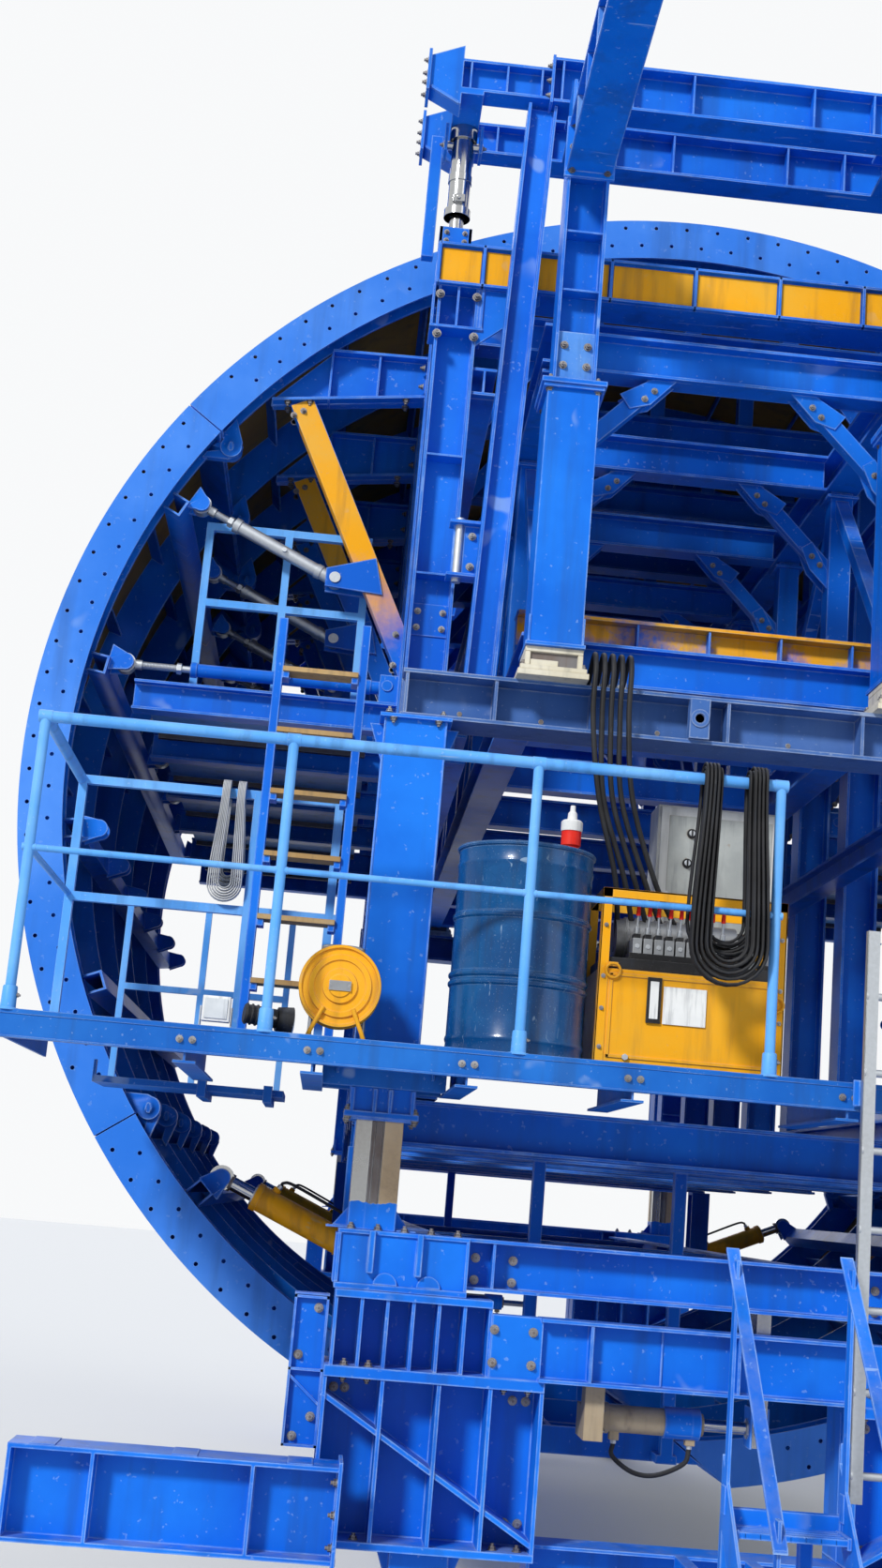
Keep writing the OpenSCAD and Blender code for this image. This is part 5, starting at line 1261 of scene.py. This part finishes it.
def add_shift_cylinders():
    """End caps, ports, pipe and clevis of the cylinders that shift the bases across."""
    z = SHIFT_Z
    for end, sy in ENDS:
        y = sy * SHIFT_Y
        shape, places = Shape(), []
        for x0, x1, radius, slot, sides in ((-0.372, -0.338, 0.062, 0, 40), (0.012, 0.046, 0.062, 0, 40),
                                            (0.044, 0.062, 0.045, 0, 32), (-0.105, 0.047, 0.0635, 3, 40)):
            shape.rod((x0, y, z), (x1, y, z), radius, slot, sides)
        for x in (-0.33, -0.01):
            shape.box((x, y - 0.02, z - 0.085), (x + 0.04, y + 0.02, z - 0.045))
            shape.rod((x + 0.02, y, z - 0.10), (x + 0.02, y, z - 0.08), 0.013, 1, 6)
        pipe = [(-0.31, y, z - 0.10), (-0.31, y, z - 0.15), (-0.22, y - sy * 0.02, z - 0.21),
                (-0.12, y - sy * 0.02, z - 0.215), (-0.01, y, z - 0.16), (0.01, y, z - 0.10)]
        shape.tube(smooth_path(pipe, 6), 0.010, 2, 10)
        for x in (-0.40, -0.44):
            shape.slab(x, y, (z - 0.09, z + 0.058), 0.004, 0.078, 3)
        places += [((-0.372, y + dy, z + dz), (1, 0, 0)) for dy in both(0.05) for dz in (-0.05, 0.03)]
        shape.piece(f"{end}_shift_cylinder", f"{end}_base", [TAN, ZINC, RUBBER, BLUE], 0.0015)
        bolts(f"{end}_shift_bolts", f"{end}_base", places, 0.016)
    shape = Shape()
    for y in both(SHIFT_Y):
        shape.rod((0.244, y, z), (0.262, y, z), 0.042, 0, 6)
        shape.rod((0.29, y - 0.075, z), (0.29, y + 0.075, z), 0.026, 0, 28)
        for x in (0.255, 0.325):
            shape.slab(x, y, (z - 0.075, z + 0.09), 0.004, 0.062, 1)
    shape.piece("shift_rod_ends", "undercarriage", [ZINC, BLUE], 0.0015)


HUB_PROFILES = (([(0.045, 0.064), (0.150, 0.064), (0.158, 0.070), (0.158, 0.078), (0.045, 0.078)], 48, 0),
                ([(0, 0.132), (0.028, 0.136), (0.036, 0.134), (0.036, 0.128), (0, 0.128)], 32, 1),
                ([(0.042, 0.086), (0.070, 0.086), (0.074, 0.091), (0.070, 0.0925), (0.042, 0.0925)], 32, 1))


def add_wheels():
    """Raised web, axle cap, keeper ring and bolts on both faces of each wheel."""
    for end, sy in ENDS:
        for side, sx in SIDES:
            x, y, z = sx * 1.09, sy * LEG_Y, 0.2
            shape, places = Shape(), []
            for away in both(1):
                for profile, sides, slot in HUB_PROFILES:
                    shape.turned(profile, (x, y, z), (away, 0, 0), sides, slot)
                for k in range(8):
                    a = math.radians(45 * k + 22)
                    spot = (x + away * 0.078, y + 0.115 * math.cos(a), z + 0.115 * math.sin(a))
                    places.append((spot, (away, 0, 0)))
            wheel = f"wheel_{end}_{side}"
            shape.piece(f"{wheel}_hub", wheel, [DARK_STEEL, ZINC])
            bolts(f"{wheel}_bolts", wheel, places, 0.018)


def add_outrigger_details():
    shape, places = Shape(), []
    y = -4.66
    for sx in both(1):
        beads(shape, [((sx * x, y - 0.008, 0.64), (sx * x, y - 0.008, 0.96)) for x in (2.72, 2.40, 1.78, 1.45)])
        shape.box((sx * 1.432, y - 0.115, 0.60), (sx * 1.448, y + 0.115, 1.0))
        places += [((sx * 1.448, y + dy, z), (sx, 0, 0)) for dy in both(0.08) for z in (0.68, 0.80, 0.92)]
        for x in (2.60, 2.05, 1.60):
            shape.slab(sx * x, y, (0.979, 0.984), 0.05, 0.10)
    shape.piece("outrigger_details", "front_base", [BLUE], 0.002)
    bolts("outrigger_bolts", "front_base", places, 0.026)


def add_stair_details():
    """Angles that carry the treads, their grip bars, and the stringers' end cleats."""
    shape, places = Shape(), []
    y_foot = -6.19
    for i in range(1, 5):
        y, z = y_foot + 0.2 * i - 0.06, 0.2 * i + 0.14
        for x, away in ((-0.036, 1), (0.372, -1)):
            shape.box((x, y - 0.005, z - 0.012), (x + 0.014, y + 0.16, z + 0.03))
            places += [((x, y + dy, z + 0.008), (away, 0, 0)) for dy in (0.03, 0.12)]
        for k in range(7):
            x = 0.055 * k
            shape.box((x, y, z + 0.002), (x + 0.004, y + 0.155, z + 0.021))
    for x in (-0.069, 0.369):
        for y in (-6.13, -5.34):
            z = 0.15 + y - y_foot
            shape.box((x + 0.014, y, z), (x + 0.036, y + 0.054, z + 0.10))
    shape.piece("stair_details", "front_base", [BLUE], 0.001)
    bolts("stair_bolts", "front_base", places, 0.014)


# Gantry


def add_leg_details():
    """Foot and head plates of the leg columns, with gussets, bolts and corner welds."""
    shape, places = Shape(), []
    for x, y, _, _ in CORNERS:
        for away in both(1):
            edge = x + away * 0.155
            shape.plate([(edge - away * 0.02, 2.344), (edge, 2.344), (edge - away * 0.02, 2.46)], y - 0.09, y - 0.08)
            for dy in both(0.14):
                places.append(((x + away * 0.1426, y + dy, 2.364), (0, 0, 1)))
                places.append(((x + away * 0.1426, y + dy, 2.34), (0, 0, -1)))
        shape.slab(x, y, (4.082, 4.0995), 0.16, 0.16)
        for side in both(1):
            gusset = [(x + side * 0.135, 4.082), (x + side * 0.20, 4.082), (x + side * 0.135, 3.90)]
            shape.plate(gusset, y - 0.006, y + 0.006)
            places += [((x + side * 0.10, y + dy, 4.082), (0, 0, -1)) for dy in both(0.145)]
        beads(shape, [((x + a, y + b, 2.36), (x + a, y + b, 4.08)) for a in both(0.136) for b in both(0.136)], 0.004)
    shape.piece("leg_details", "gantry", [BLUE], 0.0015)
    bolts("leg_bolts", "gantry", places, 0.024)


def add_mid_beam_details():
    """Bolts, welds, the lug's ring and drain plugs of the middle beams, and the hoses' unions."""
    shape, places = Shape(), []
    ring = [(0.022, -0.006), (0.042, -0.006), (0.042, 0.004), (0.022, 0.004), (0.022, -0.006)]
    for sy in both(1):
        y = sy * LEG_Y
        places += [((x + dx, y + sy * 0.09, 4.118), (0, 0, 1)) for x in both(LEG_X) for dx in both(0.12)]
        for x in (-1.45, -1.05, -0.61, 0.0, 0.61, 1.05, 1.45):
            beads(shape, [((x + 0.009, y + sy * 0.009, 4.12), (x + 0.009, y + sy * 0.009, 4.30))], 0.004)
        shape.turned(ring, (-0.135, sy * 4.452, 4.21), (0, sy, 0), 32)
        for x in (-1.2, -0.83, -0.3, 0.3, 0.83, 1.2):
            shape.rod((x, sy * 4.306, 4.16), (x, sy * 4.309, 4.16), 0.012, 1, 16)
    shape.piece("mid_beam_details", "gantry", [DUSTY_BLUE, DARK_STEEL], 0.0012)
    bolts("mid_beam_bolts", "gantry", places, 0.024)
    unions = Shape()
    for x in HOSE_X:
        for y0, y1, radius, sides in ((-4.178, -4.150, 0.014, 18), (-4.204, -4.190, 0.021, 6),
                                      (-4.178, -4.168, 0.021, 6)):
            unions.rod((x, y0, 4.385), (x, y1, 4.385), radius, 0, sides)
    unions.piece("hose_unions", "gantry", [ZINC], 0.001)


BOX_COLUMN_X = 0.81
BOX_COLUMN_Y = 4.36


def add_slide_blocks():
    shape, places = Shape(), []
    for sx, sy in QUARTERS:
        x, y = sx * BOX_COLUMN_X, sy * BOX_COLUMN_Y
        shape.box((x - 0.16, y - 0.15, 4.32), (x + 0.16, y + 0.14, 4.348))
        shape.box((x - 0.150, y - 0.142, 4.348), (x + 0.150, y + 0.132, 4.37))
        shape.box((x - 0.115, y - 0.115, 4.37), (x + 0.115, y + 0.105, 4.446), 1)
        shape.box((x - 0.13, y - 0.13, 4.434), (x + 0.13, y + 0.12, 4.4599))
        for dx in both(0.118):
            shape.box((x + dx - 0.012, y - 0.13, 4.37), (x + dx + 0.012, y + 0.12, 4.434))
        shape.box((x - 0.106, y + sy * 0.118 - 0.006, 4.37), (x + 0.02, y + sy * 0.118 + 0.006, 4.40))
        places += [((x + dx, y + dy, 4.37), (0, 0, 1)) for dx in both(0.135) for dy in both(0.115)]
    shape.piece("slide_block_details", "gantry", [CREAM, DARK_STEEL], 0.003, node="slide_blocks", slot="cream_paint")
    bolts("slide_block_bolts", "gantry", places, 0.024)


def add_portal_details():
    """Foot plates, caps and splice plates of the box columns and posts, and guides beside the leaning legs."""
    shape, places = Shape(), []
    for sx, sy in QUARTERS:
        x, y = sx * BOX_COLUMN_X, sy * BOX_COLUMN_Y
        shape.slab(x, y, (4.4605, 4.478), 0.135, 0.15)
        shape.slab(x, y, (5.692, 5.7095), 0.14, 0.16)
        for dx in both(0.122):
            shape.box((x + dx - 0.005, y - 0.146, 4.478), (x + dx + 0.005, y - 0.140, 4.60))
        for dx in both(0.11):
            for dy in both(0.13):
                places.append(((x + dx, y + dy, 5.692), (0, 0, -1)))
                places.append(((x + dx, y + dy, 5.734), (0, 0, 1)))
        front = y + sy * 0.08
        places += [((x + dx, front + sy * 0.012, z), (0, sy, 0))
                   for z in (5.83, 5.93, 7.02, 7.14) for dx in both(0.055)]
        for z0, z1 in ((5.76, 6.0), (6.95, 7.2)):
            shape.box((x - 0.095, front, z0), (x + 0.095, front + sy * 0.012, z1), 1)
        for z in (6.2, 6.5, 6.8):
            shape.box((x - 0.088, y - 0.108, z), (x + 0.088, y + 0.068, z + 0.01))
    for sx, sy in QUARTERS:
        y = sy * 4.12
        for z in (4.86, 5.12):
            shape.box((sx * 1.10, y - 0.05, z), (sx * 1.31, y + 0.05, z + 0.015))
        shape.box((sx * 1.12, y - 0.006, 4.875), (sx * 1.29, y + 0.006, 5.12))
        shape.rod((sx * 1.26, y, 4.84), (sx * 1.26, y, 5.155), 0.022, 2, 20)
        places += [((sx * x, y + sy * 0.006, z), (0, sy, 0)) for x in (1.14, 1.20) for z in (4.92, 5.07)]
    shape.piece("portal_details", "gantry", [BLUE, CHALKY_BLUE, ZINC], 0.0015)
    bolts("portal_bolts", "gantry", places, 0.026)


def add_top_details():
    """Web stiffeners, ribs of the tapered ends and end plates of the top beams and their hanger arms."""
    shape, places = Shape(), []
    for sx, sy in QUARTERS:
        for y in (sy * 4.2, sy * 3.66):
            for x in (0.30, 0.60, 0.95):
                shape.slab(sx * x, y, (7.304, 7.516), 0.005, 0.078)
            for x in (1.05, 1.22, 1.40):
                shape.slab(sx * x, y, (7.324, 7.466), 0.005, 0.058)
            for x0, x1, top, rows, dy in ((1.598, 1.614, 7.50, (7.33, 7.45), 0.055),
                                          (0.992, 1.006, 7.54, (7.33, 7.41, 7.49), 0.06)):
                shape.box((sx * x0, y - 0.085, 7.28), (sx * x1, y + 0.085, top))
                places += [((sx * x1, y + off, z), (sx, 0, 0)) for z in rows for off in both(dy)]
            edge = y + math.copysign(0.0605, y)
            lip = [(sx * 1.45, 7.24), (sx * 1.59, 7.315), (sx * 1.59, 7.30), (sx * 1.45, 7.225)]
            shape.plate(lip, edge - 0.008, edge + 0.008)
    shape.piece("top_beam_details", "gantry", [BLUE], 0.0015)
    bolts("top_beam_bolts", "gantry", places, 0.022)


def add_overhead_details():
    """Stiffeners, joint bolts and rimmed end holes of the overhead beams."""
    shape, places = Shape(), []
    rim = [(0.013, 0), (0.020, 0), (0.020, 0.003), (0.013, 0.003), (0.013, 0)]
    for sx, sy in QUARTERS:
        x = sx * BOX_COLUMN_X
        for k in range(5):
            shape.slab(x, sy * (4.75 + 0.33 * k), (6.82, 7.03), 0.106, 0.005, 0 if k % 2 else 1)
        places += [((x + dx, sy * 4.498, z), (0, sy, 0)) for dx in both(0.085) for z in (6.80, 6.92, 7.04)]
        for dx in both(0.08):
            for z in (6.81, 7.00):
                shape.turned(rim, (x + dx, sy * 6.2, z), (0, sy, 0), 20)
    shape.piece("overhead_details", "gantry", [BLUE, CHALKY_BLUE], 0.0015)
    bolts("overhead_bolts", "gantry", places, 0.024)


TRUSS_YS = [(-1 + 2 * i / 7) * 4.1 for i in range(8)]
KNEE_FOOT = ((0.79, 5.50), (0.79, 5.40), (0.69, 5.50), (0.64, 5.62), (0.70, 5.66))
KNEE_HEAD = ((0.40, 5.95), (0.28, 5.95), (0.40, 5.82), (0.50, 5.79), (0.55, 5.86))
KNEE_BOLTS = ((0.745, 5.53), (0.70, 5.575), (0.43, 5.845), (0.385, 5.89))


def add_truss_details():
    """Knee plates and seats of the truss frames."""
    shape, places = Shape(), []
    for y in TRUSS_YS:
        for sx in both(1):
            for face in both(1):
                edge, out = y + face * 0.0352, y + face * 0.0442
                for outline in (KNEE_FOOT, KNEE_HEAD):
                    shape.plate([(sx * x, z) for x, z in outline], *sorted((edge, out)))
                places += [((sx * x, out, z), (0, face, 0)) for x, z in KNEE_BOLTS]
            for seat in ((4.601, 4.614), (5.912, 5.929)):
                shape.slab(sx * 0.85, y, seat, 0.085, 0.085)
    shape.piece("truss_knees", "gantry", [BLUE], 0.0012)
    bolts("truss_bolts", "gantry", places, 0.022)


def add_tie_beams():
    """The tie beams, which have kept their yellow paint between blue stiffeners."""
    shape = Shape()
    for y in both(3.8):
        shape.slab(0, y, (4.804, 4.8215), 0.932, 0.0765)
        shape.slab(0, y, (4.664, 4.804), 0.932, 0.0065)
        for x in (-0.7, -0.35, 0, 0.35, 0.7):
            shape.slab(x, y, (4.615, 4.804), 0.005, 0.07, 1)
    shape.piece("tie_beam_paint", "gantry", [PATCHED_YELLOW, BLUE], 0.0012)


# Form frame

HANGER_X = 1.4
HANGER_PIN_Z = 7.20
HANGER_FOOT_Z = 6.6005


def add_hangers():
    """Collars, pins, cheeks and posts of the cylinders that carry the form frame, and the feet of their rods."""
    shape, places = Shape(), []
    for sx, sy in QUARTERS:
        x, y = sx * HANGER_X, sy * END_COL_Y
        for z0, z1, r in ((7.22, 7.29, 0.068), (6.80, 6.842, 0.067), (6.99, 7.03, 0.060)):
            shape.rod((x, y, z0), (x, y, z1), r, 0, 40)
        shape.rod((x - 0.10, y, HANGER_PIN_Z), (x + 0.10, y, HANGER_PIN_Z), 0.022, 0, 24)
        for away in both(1):
            shape.slab(x + away * 0.088, y, (7.14, 7.2895), 0.008, 0.06, 1)
            places.append(((x + away * 0.096, y, HANGER_PIN_Z), (away, 0, 0)))
        shape.box((x - 0.03, y - 0.074, 6.86), (x + 0.03, y - 0.050, 6.90))
        shape.rod((x, y - 0.085, 6.88), (x, y - 0.074, 6.88), 0.012, 0, 6)
        shape.box((x + sx * 0.10, y + 0.07, 6.62), (x + sx * 0.16, y + 0.13, 7.29), 1)
    shape.piece("hanger_heads", "gantry", [CHROME, BLUE], 0.002)
    bolts("hanger_bolts", "gantry", places, 0.022)
    shape, places = Shape(), []
    for sx, sy in QUARTERS:
        x, y = sx * HANGER_X, sy * END_COL_Y
        for d in both(0.072):
            shape.slab(x + d, y, (HANGER_FOOT_Z, 6.71), 0.008, 0.08)
        for d in both(0.072):
            shape.slab(x, y + d, (HANGER_FOOT_Z, 6.71), 0.08, 0.008)
        shape.slab(x, y, (6.6003, 6.612), 0.079, 0.105)
        places += [((x + dx, y + sy * 0.08, z), (0, sy, 0)) for dx in both(0.045) for z in (6.635, 6.68)]
    shape.piece("hanger_feet", "form_frame", [BLUE], 0.0015)
    bolts("hanger_foot_bolts", "form_frame", places, 0.018)


def add_front_braces():
    """Knee braces that are still partly yellow, at the first frames on the left, and the bolts of all of them."""
    head = [(-2.177, AXIS_Z + 2.066), (-2.064, AXIS_Z + 2.121)]
    whole = head + [(-1.462, AXIS_Z + 0.883), (-1.462, AXIS_Z + 0.586)]
    upper = head + [(-1.78, AXIS_Z + 1.535), (-1.86, AXIS_Z + 1.415)]
    for i, (outline, finish) in enumerate(((whole, FADING_YELLOW), (upper, PATCHED_YELLOW))):
        middle = sum(x for x, _ in outline) / 4
        coat = [(x + math.copysign(0.0015, x - middle), z) for x, z in outline]
        shape = Shape()
        shape.plate(coat, FRAME_YS[i] - 0.0465, FRAME_YS[i] + 0.0465)
        shape.piece(f"knee_brace_paint_{i + 1}", "form_frame", [finish], 0.002)
    spots = ((2.11, 2.04), (2.16, 2.01), (1.50, 0.83), (1.50, 0.66))
    places = [((side * x, y + face * 0.046, AXIS_Z + z), (0, face, 0))
              for side in both(1) for y in FRAME_YS for x, z in spots for face in both(1)]
    bolts("knee_brace_bolts", "form_frame", places, 0.024)


def add_column_details():
    shape, places = Shape(), []
    for sx, sy in QUARTERS:
        x, y = sx * FORM_COL_X, sy * END_COL_Y
        for z in (2.9, 3.5, 4.3, 4.9, 5.5):
            shape.slab(x, y, (z, z + 0.010), 0.086, 0.098)
        for z in (3.30, 4.62):
            shape.box((x - 0.09, y + sy * 0.004, z), (x + 0.09, y + sy * 0.012, z + 0.16))
            places += [((x + dx, y + sy * 0.012, z + dz), (0, sy, 0)) for dx in both(0.06) for dz in (0.04, 0.12)]
    shape.piece("column_ribs", "form_frame", [BLUE], 0.0012)
    bolts("column_bolts", "form_frame", places, 0.022)


def add_platform_seams():
    """Seams between the planks of the middle platforms and the battens under them."""
    shape = Shape()
    for sx in both(1):
        for y0, y1 in zip(FRAME_YS, FRAME_YS[1:]):
            for x in (1.62, 1.90, 2.18, 2.46, 2.74):
                shape.box((sx * x - 0.003, y0 + 0.065, 4.549), (sx * x + 0.003, y1 - 0.065, 4.5515))
            for y in (y0 + 0.165, y1 - 0.205):
                shape.box((sx * 1.60, y, 4.475), (sx * 2.79, y + 0.04, 4.505))
    shape.piece("platform_seams", "form_frame", [DARK_STEEL])


# Jacks and cylinders: each line goes from its pin on the frame to its eye on the form

UPPER = (Vector((-1.85, 0, 5.21)), on_ring(2.980, 150.77))
MIDDLE = (Vector((-1.52, 0, 4.64)), on_ring(2.950, 169.45))
LOWER = (on_ring(2.750, 238.68), on_ring(2.950, 224.2))
THREAD_PITCH = 0.007
THREAD_R = (0.0178, 0.0208)


def along(ends, distance, side, y):
    """A point on a jack's line, on the left or mirrored to the right."""
    start, end = ends
    point = start + (end - start).normalized() * distance
    return Vector((point.x * -side, y, point.z))


def add_jacks(name, ends, sleeve_end, screw_end, travel, sleeve_body, screw_body, finish):
    """Collars on the sleeves, and a lock nut and a thread that stay out of them when the screws go in by travel."""
    nut = sleeve_end + travel + 0.008
    start, stop = nut + 0.028, screw_end - 0.035
    teeth = int((stop - start) / THREAD_PITCH)
    root, crest = THREAD_R
    thread = [(0, 0)]
    for k in range(teeth):
        thread += [(root, THREAD_PITCH * k), (crest, THREAD_PITCH * (k + 0.5))]
    thread += [(root, THREAD_PITCH * teeth), (0, THREAD_PITCH * teeth)]
    for word, side in SIDES:
        sleeves, screws = Shape(), Shape()
        for y in FRAME_YS:
            def spot(distance, dy=0.0):
                return along(ends, distance, side, y + dy)
            sleeves.rod(spot(0.085), spot(0.115), 0.040, 0, 28)
            sleeves.rod(spot(sleeve_end - 0.035), spot(sleeve_end - 0.001), 0.041, 0, 28)
            for at, near, far, radius, sides in ((sleeve_end / 2, 0.034, 0.052, 0.013, 12),
                                                 (0, 0.058, 0.066, 0.030, 24)):
                for away in both(1):
                    sleeves.rod(spot(at, near * away), spot(at, far * away), radius, 0, sides)
            screws.rod(spot(nut), spot(nut + 0.024), 0.031, 0, 6)
            screws.turned(thread, spot(start), tuple((spot(1.0) - spot(0.0)).normalized()), 12)
            screws.rod(spot(screw_end - 0.035), spot(screw_end), 0.026, 0, 24)
        sleeves.piece(f"{name}_collars_{word}", f"{sleeve_body}_{word}", [finish], 0.001)
        screws.piece(f"{name}_threads_{word}", f"{screw_body}_{word}", [ZINC], 0, 40)


def add_haunch_cylinders():
    """Glands, port blocks and pipes of the haunch cylinders, and the heads of their rods."""
    for word, side in SIDES:
        barrels, rods = Shape(), Shape()
        for y in (FRAME_YS[0], FRAME_YS[5]):
            up = Vector((0, y, AXIS_Z)) - along(LOWER, 0.3, side, y)
            up = up.normalized()

            def spot(distance, lift=0.0, dy=0.0):
                return along(LOWER, distance, side, y + dy) + up * lift

            for a, b, r, slot in ((0.528, 0.559, 0.0715, 0), (0.559, 0.568, 0.058, 1), (0.062, 0.085, 0.0705, 0)):
                barrels.rod(spot(a), spot(b), r, slot, 40)
            for distance in (0.13, 0.49):
                barrels.rod(spot(distance, 0.05), spot(distance, 0.087), 0.022, 0, 20)
                barrels.rod(spot(distance, 0.087), spot(distance, 0.107), 0.014, 1, 6)
            for pipe in ((spot(0.49, 0.106), spot(0.49, 0.125), spot(0.44, 0.14), spot(0.20, 0.135), spot(0.06, 0.13)),
                         (spot(0.13, 0.106), spot(0.13, 0.118), spot(0.10, 0.122, 0.02), spot(0.04, 0.12, 0.02))):
                barrels.tube(smooth_path(pipe, 6), 0.008, 2, 8)
            rods.rod(spot(0.684), spot(0.700), 0.044, 0, 32)
        barrels.piece(f"haunch_cylinder_fittings_{word}", f"haunch_barrels_{word}", [YELLOW_PAINT, ZINC, RUBBER],
                      0.001)
        rods.piece(f"haunch_rod_heads_{word}", f"haunch_rods_{word}", [DARK_STEEL], 0.001)


# The forms, and then every other dressed piece in its order. The cords are made above.

FORMS = (("crown_form", "form_frame", 35.9, 144.1), ("side_form_left", "side_left", 144.1, 214.8),
         ("side_form_right", "side_right", -34.8, 35.9), ("haunch_form_left", "haunch_left", 214.8, 254.0),
         ("haunch_form_right", "haunch_right", -79.5, -34.8))

for form in FORMS:
    ring_form(*form)
for add in (end_beam_cells, column_heads, cantilever_details, add_drum, add_coupling, add_pack, add_cabinet, add_reel,
            add_lamps, add_rail_sockets, add_deck_details, add_ladders, add_leg_rams, add_foot_details,
            add_girder_details, add_base_details, add_shift_cylinders, add_wheels, add_outrigger_details,
            add_stair_details, add_leg_details, add_mid_beam_details, add_slide_blocks, add_portal_details,
            add_top_details, add_overhead_details, add_truss_details, add_tie_beams, add_hangers, add_front_braces,
            add_column_details, add_platform_seams):
    add()
add_jacks("upper_jack", UPPER, sleeve_end=0.621, screw_end=0.776, travel=0.004,
          sleeve_body="upper_sleeves", screw_body="upper_screws", finish=ZINC)
add_jacks("mid_jack", MIDDLE, sleeve_end=1.040, screw_end=1.330, travel=0.040,
          sleeve_body="mid_sleeves", screw_body="mid_screws", finish=BLUE)
add_haunch_cylinders()


# Stage and light

FLOOR_HALF = 60
FLOOR_Z = -0.002


def add_stage():
    mesh = bpy.data.meshes.new("floor")
    mesh.from_pydata([(sx * FLOOR_HALF, sy * FLOOR_HALF, FLOOR_Z) for sx, sy in QUARTERS], [], [(0, 2, 3, 1)])
    floor = bpy.data.objects.new("floor", mesh)
    bpy.context.scene.collection.objects.link(floor)
    material = bpy.data.materials.new("pale_floor")
    material.use_nodes = True
    shader = material.node_tree.nodes["Principled BSDF"]
    shader.inputs["Base Color"].default_value = colour(0.72, 0.73, 0.75)
    shader.inputs["Roughness"].default_value = 0.9
    mesh.materials.append(material)


def add_sun(name, strength, toward, angle):
    data = bpy.data.lights.new(name, "SUN")
    data.energy = strength
    data.angle = math.radians(angle)
    lamp = bpy.data.objects.new(name, data)
    bpy.context.scene.collection.objects.link(lamp)
    lamp.rotation_mode = "QUATERNION"
    lamp.rotation_quaternion = Vector(toward).to_track_quat("-Z", "Y")


def add_light():
    """Soft studio light. The camera, metal and glass see a pale sky behind it."""
    world = bpy.data.worlds.new("studio")
    bpy.context.scene.world = world
    world.use_nodes = True
    tree = world.node_tree
    ray = node(tree, "ShaderNodeLightPath").outputs
    mirrored = maths(tree, "MAXIMUM", ray["Is Glossy Ray"], ray["Is Transmission Ray"])
    seen = maths(tree, "MAXIMUM", ray["Is Camera Ray"], mirrored)
    soft = node(tree, "ShaderNodeBackground", {"Color": colour(0.86, 0.92, 1.0), "Strength": 0.42}).outputs[0]
    pale = node(tree, "ShaderNodeBackground", {"Color": colour(0.94, 0.95, 0.96), "Strength": 1.0}).outputs[0]
    mix = node(tree, "ShaderNodeMixShader", {0: seen, 1: soft, 2: pale}).outputs[0]
    feed(tree, tree.nodes["World Output"].inputs["Surface"], mix)
    add_sun("key", strength=3.0, toward=(0.55, 0.78, -0.62), angle=9)
    add_sun("fill", strength=0.55, toward=(-0.7, 0.5, -0.35), angle=40)
    add_sun("back", strength=0.7, toward=(0.2, -0.9, -0.5), angle=40)
    bpy.context.scene.view_settings.view_transform = "Standard"


add_stage()
add_light()
